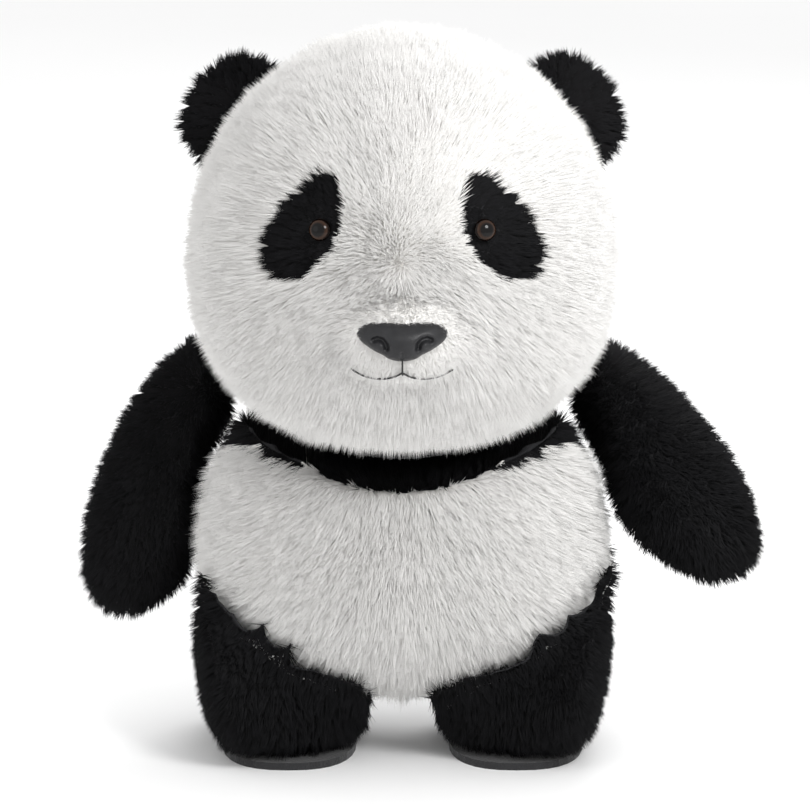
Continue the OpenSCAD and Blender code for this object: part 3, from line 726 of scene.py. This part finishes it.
noseLow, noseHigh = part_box("nose")
noseMid = np.array((noseLow + noseHigh) / 2)
noseMid[1] = noseLow[1]
muzzleLow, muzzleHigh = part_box("muzzle_pad")
headFlow = headPoints - np.array([noseMid[0], noseMid[1] + 0.02, noseMid[2] + 0.012])
headFlow[:, 1] = np.maximum(headFlow[:, 1], 0) * 0.5
headFlow[:, 2] -= 0.012
headComb = tangentComb(headNormals, unit(headFlow, 1e-6))
headShare = share(nearNodes(headPoints, ["eye_right", "eye_left"]), 3.5 * mm, 12 * mm, 0.3)
headShare *= share(nearNodes(headPoints, ["nose"]), 5 * mm, 14 * mm, 0.35)
headShare *= share(nearNodes(headPoints, ["mouth_stitching"]), 5 * mm, 10 * mm, 0.85)

headPiles = {
    "face_right": ("faceRightPile", whiteLook),
    "face_left": ("faceLeftPile", whiteLook),
    "head_back_right": ("headBackRightPile", lookWith(whiteLook, density=2.0e6, width=0.8 * mm)),
    "head_back_left": ("headBackLeftPile", lookWith(whiteLook, density=2.0e6, width=0.8 * mm)),
    "forehead_gusset": ("gussetPile", whiteLook),
    "chin_panel": ("chinPile", lookWith(whiteLook, density=2.6e6, width=0.48 * mm)),
    "muzzle_pad": ("muzzlePile", lookWith(whiteLook, density=6.0e6, length=8 * mm, width=0.36 * mm)),
}
seed = 11
for k, panelName in enumerate(headPanels):
    pieceName, look = headPiles[panelName]
    scalp = scalpOf(pieceName + "Skin", head, (headZone == k) & (patchSide < 0), headComb, headShare)
    growPile(pieceName, scalp, look, seed + k, whitePile, "head")
patchShare = headShare * 0.95
for k, side in enumerate(sides):
    scalp = scalpOf("eyePatchSkin" + side, head, patchSide == k, headComb, patchShare)
    piece = growPile("eyePatchPile_" + side, scalp, lookWith(blackLook, density=6.5e6),
                     seed + 20 + k, blackPile, "head")
    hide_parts("eye_patch_" + side)
finishCover(head, "head", headPanels)


torsoCover = {"voxel": 4.5 * mm, "softenSteps": 4, "pileDepth": 6 * mm, "swell": 1.2 * mm, "seamReach": 5 * mm,
              "pressure": 4.0, "mostMove": 2.4 * mm, "seamDip": 0.8 * mm, "lowest": 4 * mm}
torsoPanels = ["belly_panel", "chest_yoke", "upper_back_panel", "lower_back_panel", "seat_panel"]
torso = stuffedCover("torsoCover", "torso", torsoPanels, ["torso_stuffing"], torsoCover)
torsoZone = dress(torso, torsoPanels, ["chest_yoke", "upper_back_panel"], {"chest_yoke": 0.5 * mm})
neckPlace = np.array([j["pos_m"] for j in frame["joints"] if j["name"] == "head_nod"][0])
toNeck = neckPlace - faceCentres(torso.data)
torsoWays = np.array([tuple(p.normal) for p in torso.data.polygons])
inBowl = (toNeck * torsoWays).sum(axis=1) > 0.55 * np.linalg.norm(toNeck, axis=1)
torsoZone[inBowl & (torsoZone == 0)] = 1
torso.data.polygons.foreach_set("material_index", np.isin(torsoZone, (1, 2)).astype(np.int32))
torsoPoints, torsoNormals = pointsOf(torso.data), normalsOf(torso.data)
torsoLow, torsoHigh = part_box("belly_panel")
torsoMid = np.array((torsoLow + torsoHigh) / 2)
torsoFlow = (torsoPoints - torsoMid) * np.array([3.0, 0.0, 0.0]) + np.array([0, 0, -0.1])
torsoComb = tangentComb(torsoNormals, unit(torsoFlow))
torsoShare = np.ones(len(torsoPoints))
headPanelNodes = [n for n in cadNodes if n.startswith(("face_", "chin_", "head_back_", "forehead"))]
limbNodes = [n for n in cadNodes if n.startswith(("leg_front", "leg_back", "arm_outer", "arm_inner"))]
torsoHidden = underCover(torso.data, limbNodes, 5 * mm) | underCover(torso.data, headPanelNodes, 3.5 * mm)
torsoPiles = {
    "belly_panel": ("bellyPile", lookWith(whiteLook, density=4.5e6, length=12 * mm), whitePile, "white_plush"),
    "chest_yoke": ("yokePile", lookWith(blackLook, density=4.4e6, length=10 * mm), blackPile, "black_plush"),
    "upper_back_panel": ("upperBackPile", lookWith(blackLook, density=2.4e6, width=0.56 * mm), blackPile,
                         "black_plush"),
    "lower_back_panel": ("lowerBackPile", lookWith(whiteLook, density=2.4e6, width=0.56 * mm), whitePile,
                         "white_plush"),
    "seat_panel": ("seatPile", lookWith(whiteLook, density=1.1e6, width=0.8 * mm, length=8 * mm), whitePile,
                   "white_plush"),
}
for k, panelName in enumerate(torsoPanels):
    pieceName, look, material, slotName = torsoPiles[panelName]
    scalp = scalpOf(pieceName + "Skin", torso, (torsoZone == k) & ~torsoHidden, torsoComb, torsoShare)
    growPile(pieceName, scalp, look, 41 + k, material, "torso")
finishCover(torso, "torso", torsoPanels)

tailCover = {"voxel": 2.5 * mm, "softenSteps": 3, "pileDepth": 4 * mm, "swell": 0.5 * mm, "seamReach": 3 * mm,
             "pressure": 3.0, "mostMove": 1.5 * mm, "seamDip": 0.0, "lowest": 0.0}
tail = stuffedCover("tailCover", "torso", ["tail_cover"], ["tail_stuffing"], tailCover)
dress(tail, ["tail_cover"], [])
tailPoints, tailNormals = pointsOf(tail.data), normalsOf(tail.data)
tailFlow = tailPoints - tailPoints.mean(axis=0)
tailComb = tangentComb(tailNormals, unit(tailFlow) + np.array([0, 0, -0.6]))
scalp = scalpOf("tailSkin", tail, np.ones(len(tail.data.polygons), bool), tailComb, np.ones(len(tailPoints)))
growPile("tailPile", scalp, whiteLook, 61, whitePile, "torso")
finishCover(tail, "torso", ["tail_cover"])


limbCover = {"voxel": 3.6 * mm, "softenSteps": 4, "pileDepth": 4 * mm, "swell": 0.8 * mm, "seamReach": 4 * mm,
             "pressure": 4.0, "mostMove": 2.0 * mm, "seamDip": 0.4 * mm, "lowest": 3.6 * mm}
jointPlace = {j["name"]: np.array(j["pos_m"]) for j in frame["joints"]}


restNodes = ["belly_panel", "lower_back_panel", "upper_back_panel", "chest_yoke", "seat_panel"] + headPanelNodes


limbFit = {"rootReach": 12 * mm, "rootDepth": 9 * mm, "fullDepth": 4 * mm, "fullTilt": 0.6,
           "hiddenReach": 1.5 * mm}


def fuller(form, way, depth):  # a fuller side, where it meets the body
    points, normals = pointsOf(form.data), normalsOf(form.data)
    side = np.clip((normals * np.array(way)).sum(axis=1), 0, 1)
    setPoints(form.data, points + normals * (side * depth)[:, None])


def rootInto(form, root, reach, depth):  # carries an ear's root down to the head's cloth
    points = pointsOf(form.data)
    outward = (root - neckPlace) / np.linalg.norm(root - neckPlace)
    near = np.clip(1 - ((points - root) @ outward) / reach, 0, 1)
    setPoints(form.data, points - outward * (near * depth)[:, None])


def blackLimb(name, body, panels, fillings, values, flowFrom, flowShare, looks, firstSeed):
    form = stuffedCover(name, body, panels, fillings, values)
    if body.startswith("ear"):
        rootInto(form, flowFrom, limbFit["rootReach"], limbFit["rootDepth"])
    if body.startswith("arm"):
        fuller(form, (1 if body.endswith("right") else -1, 0, limbFit["fullTilt"]), limbFit["fullDepth"])
    zone = dress(form, panels, panels)
    points, normals = pointsOf(form.data), normalsOf(form.data)
    comb = tangentComb(normals, unit(points - flowFrom, 1e-6) + np.array(flowShare))
    hidden = underCover(form.data, restNodes, limbFit["hiddenReach"])
    for k, panelName in enumerate(panels):
        pieceName, look = looks[k]
        scalp = scalpOf(pieceName + "Skin", form, (zone == k) & ~hidden, comb, np.ones(len(points)))
        growPile(pieceName, scalp, look, firstSeed + k, blackPile, body)
    finishCover(form, body, panels)


for k, side in enumerate(sides):
    label = side.capitalize()
    blackLimb("arm" + label + "Cover", "arm_" + side, ["arm_outer_" + side, "arm_inner_" + side],
              ["arm_stuffing_" + side], limbCover, jointPlace["arm_swing_" + side], (0, 0, -0.3),
              [("arm" + label + "OuterPile", blackLook),
               ("arm" + label + "InnerPile", lookWith(blackLook, density=2.2e6, width=0.56 * mm))], 71 + 10 * k)
    blackLimb("leg" + label + "Cover", "leg_" + side, ["leg_front_" + side, "leg_back_" + side],
              ["leg_stuffing_" + side], limbCover, jointPlace["leg_swing_" + side], (0, 0, -0.6),
              [("leg" + label + "FrontPile", blackLook),
               ("leg" + label + "BackPile", lookWith(blackLook, density=1.7e6, width=0.64 * mm))], 91 + 10 * k)

earCover = {"voxel": 1.8 * mm, "softenSteps": 2, "pileDepth": 4.2 * mm, "swell": 0.2 * mm, "seamReach": 2 * mm,
            "pressure": 2.0, "mostMove": 0.8 * mm, "seamDip": 0.0, "lowest": 0.0}
for k, side in enumerate(sides):
    label = side.capitalize()
    earLook = lookWith(blackLook, density=5.0e6, length=6.5 * mm, lean=0.6)
    blackLimb("ear" + label + "Cover", "ear_" + side, ["ear_front_" + side, "ear_back_" + side], [], earCover,
              jointPlace["ear_bend_" + side], (0, 0, 0),
              [("ear" + label + "FrontPile", earLook), ("ear" + label + "BackPile", earLook)], 131 + 10 * k)

print("covers and pile made")


eyeShape = {"radius": 4.3 * mm, "domeHeight": 3.1 * mm, "rim": 0.7 * mm, "sunk": 2.2 * mm, "shank": 1.5 * mm,
            "shankLength": 11 * mm, "around": 48}


def eyeMaterial():
    material, tree, shader = newMaterial("eyePlastic")
    ringMap = put(tree, "ShaderNodeUVMap", uv_map="eyeMap")
    split = put(tree, "ShaderNodeSeparateXYZ")
    colour = ramp(tree, (0.56, (0.002, 0.0015, 0.0015)), (0.66, (0.018, 0.008, 0.004)),
                  (0.8, (0.03, 0.013, 0.006)), (0.9, (0.004, 0.002, 0.0015)))
    wire(tree, (ringMap, "UV", split, "Vector"), (split, "Y", colour, "Fac"),
         (colour, "Color", shader, "Base Color"))
    setShader(shader, Roughness=0.07, Specular_IOR_Level=0.22)
    return material


eyePlastic = eyeMaterial()


def axisOf(nodeName, washerName):  # where a fitting's axis passes, and which way it faces
    washer = pointsOf(cadNodes[washerName].data)
    middle = (washer.min(axis=0) + washer.max(axis=0)) / 2
    shape = pointsOf(cadNodes[nodeName].data)
    far = np.linalg.norm(shape - middle, axis=1)
    top = shape[far > far.max() - 0.0002].mean(axis=0)
    return top, (top - middle) / np.linalg.norm(top - middle)


def makeEye(side):
    top, facing = axisOf("eye_" + side, "eye_washer_" + side)
    e = eyeShape
    profile = [(0.0, e["domeHeight"] + e["rim"])]
    for step in range(1, 13):
        angle = math.radians(90 * step / 12)
        profile.append((e["radius"] * math.sin(angle), e["rim"] + e["domeHeight"] * math.cos(angle)))
    profile += [(e["radius"] * 0.98, 0.2 * mm), (e["radius"] * 0.9, 0.0), (e["shank"], 0.0),
                (e["shank"], -e["shankLength"]), (0.0, -e["shankLength"])]
    base = Vector(top - facing * (e["domeHeight"] + e["rim"] + e["sunk"]))
    turn = Vector((0, 0, 1)).rotation_difference(Vector(facing))
    points, faces, reach = [], [], []
    n = e["around"]
    for radius, height in profile[1:-1]:
        for k in range(n):
            angle = 2 * math.pi * k / n
            spot = Vector((radius * math.cos(angle), radius * math.sin(angle), height))
            points.append(base + turn @ spot)
            reach.append(radius / e["radius"] if height > 0.1 * mm else 1.0)
    rings = len(profile) - 2
    for r in range(rings - 1):
        for k in range(n):
            a, b = r * n + k, r * n + (k + 1) % n
            faces.append((a, a + n, b + n, b))
    first, last = len(points), len(points) + 1
    points += [base + turn @ Vector((0, 0, height)) for _, height in (profile[0], profile[-1])]
    reach += [0.0, 1.0]
    for k in range(n):
        faces.append((first, k, (k + 1) % n))
        faces.append((last, (rings - 1) * n + (k + 1) % n, (rings - 1) * n + k))
    mesh = bpy.data.meshes.new("eye" + side)
    mesh.from_pydata([tuple(p) for p in points], [], faces)
    layer = mesh.uv_layers.new(name="eyeMap")
    for loop in mesh.loops:
        layer.data[loop.index].uv = (0.5, min(0.999, reach[loop.vertex_index]))
    smoothShade(mesh)
    mesh.materials.append(eyePlastic)
    piece = linked("eye" + side.capitalize(), mesh)
    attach(piece, "head")
    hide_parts("eye_" + side)


for side in sides:
    makeEye(side)


muzzleTree = nodeTree("muzzle_pad")
faceTrees = [muzzleTree] + [nodeTree(n) for n in ("face_right", "face_left", "forehead_gusset", "chin_panel")]


def muzzleTerms(x, w):
    return [1, x * x, w, w * w, x * x * w, x ** 4, w ** 3, x * x * w * w, w ** 4]


def muzzleSurface():  # a smooth sheet through the muzzle's front, as y over x and z
    rows, found = [], []
    for x in np.linspace(-0.026, 0.026, 15):
        for z in np.linspace(muzzleLow[2] + 2 * mm, muzzleHigh[2], 13):
            start = Vector((noseMid[0] + x, -0.3, z))
            hits = [tree.ray_cast(start, Vector((0, 1, 0)))[0] for tree in faceTrees]
            ys = [hit.y for hit in hits if hit is not None]
            if ys:
                rows.append(muzzleTerms(x, z - noseMid[2]))
                found.append(min(ys))
    weights = np.linalg.lstsq(np.array(rows), np.array(found), rcond=None)[0]
    return lambda x, w: float(np.dot(weights, muzzleTerms(x, w)))


muzzleY = muzzleSurface()
noseShape = {
    "outline": [(0, 4.6), (8, 4.8), (14, 4.0), (17.2, 1.2), (16.6, -1.9), (12.0, -5.2), (7.8, -7.2), (4.8, -9.0),
                (0, -9.8)],
    "middle": (0.0, -1.8), "rise": 5.4 * mm, "sunk": 3.2 * mm, "roundness": 2.6, "rings": 44, "around": 144,
    "nostril": [(10.8, -1.2), (9.4, -0.6), (7.6, -1.0), (6.3, -2.4), (6.0, -4.0)],
    "nostrilDepth": 2.4 * mm, "nostrilWidth": 1.15, "crease": [(0, -5.5), (0, -11)],
    "creaseDepth": 0.8 * mm, "creaseWidth": 0.7, "edgeRise": 2 * mm, "wall": 3 * mm,
}


def splineSpot(p0, p1, p2, p3, t):  # a smooth path from p1 to p2
    return 0.5 * ((2 * p1) + (p2 - p0) * t + (2 * p0 - 5 * p1 + 4 * p2 - p3) * t * t
                  + (3 * p1 - p0 - 3 * p2 + p3) * t ** 3)


def closedCurve(points, count):  # an even smooth loop through the points
    n = len(points)
    dense = []
    for i in range(n):
        near = [np.array(points[(i + k - 1) % n], float) for k in range(4)]
        dense += [splineSpot(*near, step / 24) for step in range(24)]
    dense.append(dense[0])
    dense = np.array(dense)
    run = np.concatenate([[0], np.cumsum(np.linalg.norm(np.diff(dense, axis=0), axis=1))])
    want = np.linspace(0, run[-1], count, endpoint=False)
    return np.stack([np.interp(want, run, dense[:, 0]), np.interp(want, run, dense[:, 1])], axis=1)


def pathDistance(point, path):
    best = 1e9
    for a, b in zip(path[:-1], path[1:]):
        a, b = np.array(a, float), np.array(b, float)
        t = np.clip(np.dot(point - a, b - a) / np.dot(b - a, b - a), 0, 1)
        best = min(best, np.linalg.norm(point - a - t * (b - a)))
    return best


def noseMaterial():
    material, tree, shader = newMaterial("noseLeather")
    place = put(tree, "ShaderNodeTexCoord")
    grain = put(tree, "ShaderNodeTexVoronoi", {"Scale": 1500}, feature="DISTANCE_TO_EDGE")
    mottle = put(tree, "ShaderNodeTexNoise", {"Scale": 260, "Detail": 5})
    colour = ramp(tree, (0, (0.007, 0.007, 0.008)), (1, (0.022, 0.022, 0.024)))
    rough = put(tree, "ShaderNodeMapRange", {"To Min": 0.3, "To Max": 0.46})
    relief = put(tree, "ShaderNodeBump", {"Strength": 0.35, "Distance": 0.25 * mm})
    wire(tree, (place, "Object", grain, "Vector"), (place, "Object", mottle, "Vector"),
         (mottle, "Fac", colour, "Fac"), (mottle, "Fac", rough, "Value"),
         (colour, "Color", shader, "Base Color"), (rough, "Result", shader, "Roughness"),
         (grain, "Distance", relief, "Height"), (relief, "Normal", shader, "Normal"))
    setShader(shader, Specular_IOR_Level=0.3)
    return material


def makeNose():
    n = noseShape
    half = n["outline"]
    loop = closedCurve(half + [(-x, z) for x, z in reversed(half[1:-1])], n["around"])
    middle = np.array(n["middle"])
    points, faces = [], []
    for r in range(1, n["rings"] + 1):
        rho = r / n["rings"]
        for p in loop:
            spot = middle + (p - middle) * rho
            height = n["rise"] * (1 - rho ** n["roundness"]) ** 0.5
            for flip in (-1, 1):
                gap = pathDistance(spot * np.array([flip, 1]), n["nostril"]) / n["nostrilWidth"]
                height -= n["nostrilDepth"] * math.exp(-gap ** 2) * min(1, height / n["edgeRise"])
            gap = pathDistance(spot, n["crease"]) / n["creaseWidth"]
            height -= n["creaseDepth"] * math.exp(-gap ** 2) * min(1, height / n["edgeRise"])
            x, w = spot[0] * mm, spot[1] * mm
            points.append((noseMid[0] + x, muzzleY(x, w) + n["sunk"] - height, noseMid[2] + w))
    top = len(points)
    w = n["middle"][1] * mm
    points.append((noseMid[0], muzzleY(0, w) + n["sunk"] - n["rise"], noseMid[2] + w))
    count = n["around"]
    for k in range(count):
        faces.append((top, (k + 1) % count, k))
    for r in range(n["rings"] - 1):
        for k in range(count):
            a, b = r * count + k, r * count + (k + 1) % count
            faces.append((a, b, b + count, a + count))
    rim = (n["rings"] - 1) * count
    base = len(points)
    for k in range(count):  # a wall down into the pile, then a closed back
        x, y, z = points[rim + k]
        points.append((x, y + n["wall"], z))
    back = len(points)
    points.append((noseMid[0], points[base][1], noseMid[2]))
    for k in range(count):
        a, b = k, (k + 1) % count
        faces.append((rim + a, rim + b, base + b, base + a))
        faces.append((back, base + a, base + b))
    mesh = bpy.data.meshes.new("nosePad")
    mesh.from_pydata(points, [], faces)
    form = bmesh.new()
    form.from_mesh(mesh)
    bmesh.ops.recalc_face_normals(form, faces=form.faces)
    form.to_mesh(mesh)
    form.free()
    smoothShade(mesh)
    mesh.materials.append(noseMaterial())
    piece = linked("nosePad", mesh)
    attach(piece, "head")
    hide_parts("nose")


makeNose()


def threadMaterial(name, dark, light):
    material, tree, shader = newMaterial(name)
    place = put(tree, "ShaderNodeTexCoord")
    twist = put(tree, "ShaderNodeTexWave", {"Scale": 900, "Distortion": 1.5}, bands_direction="DIAGONAL")
    # the twist's bands drive both the colour and the bump, so the thread is painted darker in its grooves and
    # lighter on its ridges: painted shade
    colour = ramp(tree, (0, dark), (1, light))
    relief = put(tree, "ShaderNodeBump", {"Strength": 0.5, "Distance": 0.1 * mm})
    wire(tree, (place, "Object", twist, "Vector"), (twist, "Fac", colour, "Fac"),
         (twist, "Fac", relief, "Height"), (colour, "Color", shader, "Base Color"),
         (relief, "Normal", shader, "Normal"))
    setShader(shader, Roughness=0.6)
    return material


blackThread = threadMaterial("blackThread", (0.006, 0.006, 0.006), (0.018, 0.018, 0.018))
whiteThread = threadMaterial("whiteThread", (0.6, 0.58, 0.53), (0.8, 0.78, 0.73))


stitchInputs = {"spacing": "Float", "stitch": "Float", "thickness": "Float", "slant": "Float",
                "material": "Material"}


def makeStitchTree():  # short stitches laid end over end along a path
    t = TreeMaker("stitches")
    start, end = t.opened(stitchInputs)
    toCurve = t.node("GeometryNodeMeshToCurve")
    spaced = t.node("GeometryNodeCurveToPoints", mode="LENGTH")
    bead = put(t.tree, "GeometryNodeMeshUVSphere", {"Segments": 10, "Rings": 6, "Radius": 0.5})
    turn = t.node("FunctionNodeAlignRotationToVector", axis="Z")
    lean = t.node("FunctionNodeRotateRotation", rotation_space="LOCAL")
    slantTurn = t.node("FunctionNodeEulerToRotation")
    slantAngles = t.node("ShaderNodeCombineXYZ")
    size = t.node("ShaderNodeCombineXYZ")
    place = t.node("GeometryNodeInstanceOnPoints")
    real = t.node("GeometryNodeRealizeInstances")
    paint = t.node("GeometryNodeSetMaterial")
    wire(t.tree, (start, "Geometry", toCurve, "Mesh"), (toCurve, "Curve", spaced, "Curve"),
         (start, "spacing", spaced, "Length"), (spaced, "Tangent", turn, "Vector"),
         (start, "slant", slantAngles, "Y"), (slantAngles, "Vector", slantTurn, "Euler"),
         (turn, "Rotation", lean, "Rotation"), (slantTurn, "Rotation", lean, "Rotate By"),
         (start, "thickness", size, "X"), (start, "thickness", size, "Y"), (start, "stitch", size, "Z"),
         (spaced, "Points", place, "Points"), (bead, "Mesh", place, "Instance"),
         (lean, "Rotation", place, "Rotation"), (size, "Vector", place, "Scale"),
         (place, "Instances", real, "Geometry"), (real, "Geometry", paint, "Geometry"),
         (start, "material", paint, "Material"), (paint, "Geometry", end, "Geometry"))
    return t.tree


stitchTree = makeStitchTree()
stitchId = inputIds(stitchTree)


def makeStitches(name, paths, values, material, body, nodeName):
    points, edges = [], []
    for path in paths:
        base = len(points)
        points += [tuple(p) for p in path]
        edges += [(base + k, base + k + 1) for k in range(len(path) - 1)]
    mesh = bpy.data.meshes.new(name + "Path")
    mesh.from_pydata(points, edges, [])
    path = linked(name + "Path", mesh)
    sew = path.modifiers.new("sew", "NODES")
    sew.node_group = stitchTree
    for key, value in {**values, "material": material}.items():
        sew[stitchId[key]] = value
    made = appliedMesh(path)
    made.name = name
    smoothShade(made)
    bpy.data.objects.remove(path)
    bpy.data.meshes.remove(mesh)
    piece = linked(name, made)
    if not made.materials:
        made.materials.append(material)
    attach(piece, body)
    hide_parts(nodeName)


mouthShape = {"sunk": 0.9 * mm, "philtrum": [(0, -9.5), (0, -15)],
              "lip": [(0.6, -15), (4, -17.0), (9, -18.0), (14.5, -17.2), (18.5, -15.2)],
              "sewing": {"spacing": 1.5 * mm, "stitch": 2.8 * mm, "thickness": 0.75 * mm, "slant": 0.12}}


def openCurve(points, count):
    ends = [points[0]] + list(points) + [points[-1]]
    out = []
    for i in range(len(points) - 1):
        near = [np.array(ends[i + k], float) for k in range(4)]
        out += [splineSpot(*near, step / count) for step in range(count)]
    out.append(np.array(points[-1], float))
    return out


def onMuzzle(spot, sunk):
    x, w = spot[0] * mm, spot[1] * mm
    return (noseMid[0] + x, muzzleY(x, w) + sunk, noseMid[2] + w)


mouthPaths = [[onMuzzle(p, mouthShape["sunk"]) for p in openCurve(mouthShape["philtrum"], 6)]]
for flip in (-1, 1):
    lip = [p * np.array([flip, 1]) for p in openCurve(mouthShape["lip"], 6)]
    mouthPaths.append([onMuzzle(p, mouthShape["sunk"]) for p in lip])
makeStitches("mouthStitches", mouthPaths, mouthShape["sewing"], blackThread, "head", "mouth_stitching")

closingSewing = {"spacing": 3.2 * mm, "stitch": 3.6 * mm, "thickness": 1.2 * mm, "slant": 0.5}
closingPath = {"steps": 18, "zigzag": 0.6 * mm, "raised": 1.6 * mm}

seamLow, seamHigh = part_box("closing_seam")
seamPoints = []
torsoTree = meshTree(torso.data)
for step in range(closingPath["steps"] + 1):
    z = seamLow[2] + (seamHigh[2] - seamLow[2]) * step / closingPath["steps"]
    hit = torsoTree.ray_cast(Vector(((seamLow[0] + seamHigh[0]) / 2, 0.3, z)), Vector((0, -1, 0)))[0]
    if hit is not None:
        sideways = closingPath["zigzag"] * (-1) ** step
        seamPoints.append((hit.x + sideways, hit.y + closingPath["raised"], hit.z))
makeStitches("closingStitches", [seamPoints], closingSewing, whiteThread, "torso", "closing_seam")
print("face pieces made")


keptFinish = {"stuffing": fibreFill, "facing": liningCloth, "washer": washerPlastic, "sole": soleCloth}
for nodeName, node in cadNodes.items():
    for word, material in keptFinish.items():
        if word in nodeName:
            node.data.materials.clear()
            node.data.materials.append(material)

bpy.data.objects.remove(strand)


stageLook = {"aim": (-0.0055, 0.0265, 0.138), "distance": 2.5, "elevation": 13.0, "lens": 277.8,
             "sky": 1.0}

floorMesh = bpy.data.meshes.new("floor")
floorMesh.from_pydata([(-6, -6, 0), (6, -6, 0), (6, 6, 0), (-6, 6, 0)], [], [(0, 1, 2, 3)])
floor = linked("floor", floorMesh)
floorPaint, floorTree, floorShader = newMaterial("floorPaint")
floorPlace = put(floorTree, "ShaderNodeTexCoord")
floorNoise = put(floorTree, "ShaderNodeTexNoise", {"Scale": 3})
floorColour = ramp(floorTree, (0, (0.9, 0.9, 0.9)), (1, (0.94, 0.94, 0.94)))
wire(floorTree, (floorPlace, "Object", floorNoise, "Vector"), (floorNoise, "Fac", floorColour, "Fac"),
     (floorColour, "Color", floorShader, "Base Color"))
setShader(floorShader, Roughness=0.9)
floorMesh.materials.append(floorPaint)

world = bpy.data.worlds.new("studio")
scene.world = world
world.use_nodes = True
world.node_tree.nodes["Background"].inputs["Color"].default_value = (1, 1, 1, 1)
world.node_tree.nodes["Background"].inputs["Strength"].default_value = stageLook["sky"]

lamps = {
    "keyLight": {"at": (0.55, -0.8, 0.85), "size": 0.45, "power": 8.5},
    "fillLight": {"at": (-0.9, -0.7, 0.5), "size": 0.8, "power": 0.8},
    "rimLight": {"at": (0.2, 0.9, 0.9), "size": 0.7, "power": 6.0},
}
aim = Vector(stageLook["aim"])
for name, lamp in lamps.items():
    data = bpy.data.lights.new(name, "AREA")
    data.shape = "DISK"
    data.size = lamp["size"]
    data.energy = lamp["power"]
    light = bpy.data.objects.new(name, data)
    scene.collection.objects.link(light)
    light.location = lamp["at"]
    light.rotation_mode = "QUATERNION"
    light.rotation_quaternion = (aim - light.location).to_track_quat("-Z", "Y")

cameraData = bpy.data.cameras.new("camera")
cameraData.lens = stageLook["lens"]
cameraData.sensor_width = 36
camera = bpy.data.objects.new("camera", cameraData)
scene.collection.objects.link(camera)
tilt = math.radians(stageLook["elevation"])
camera.location = aim + Vector((0, -math.cos(tilt), math.sin(tilt))) * stageLook["distance"]
camera.rotation_mode = "QUATERNION"
camera.rotation_quaternion = (aim - camera.location).to_track_quat("-Z", "Y")
scene.camera = camera
scene.view_settings.view_transform = "Standard"
print("stage set")
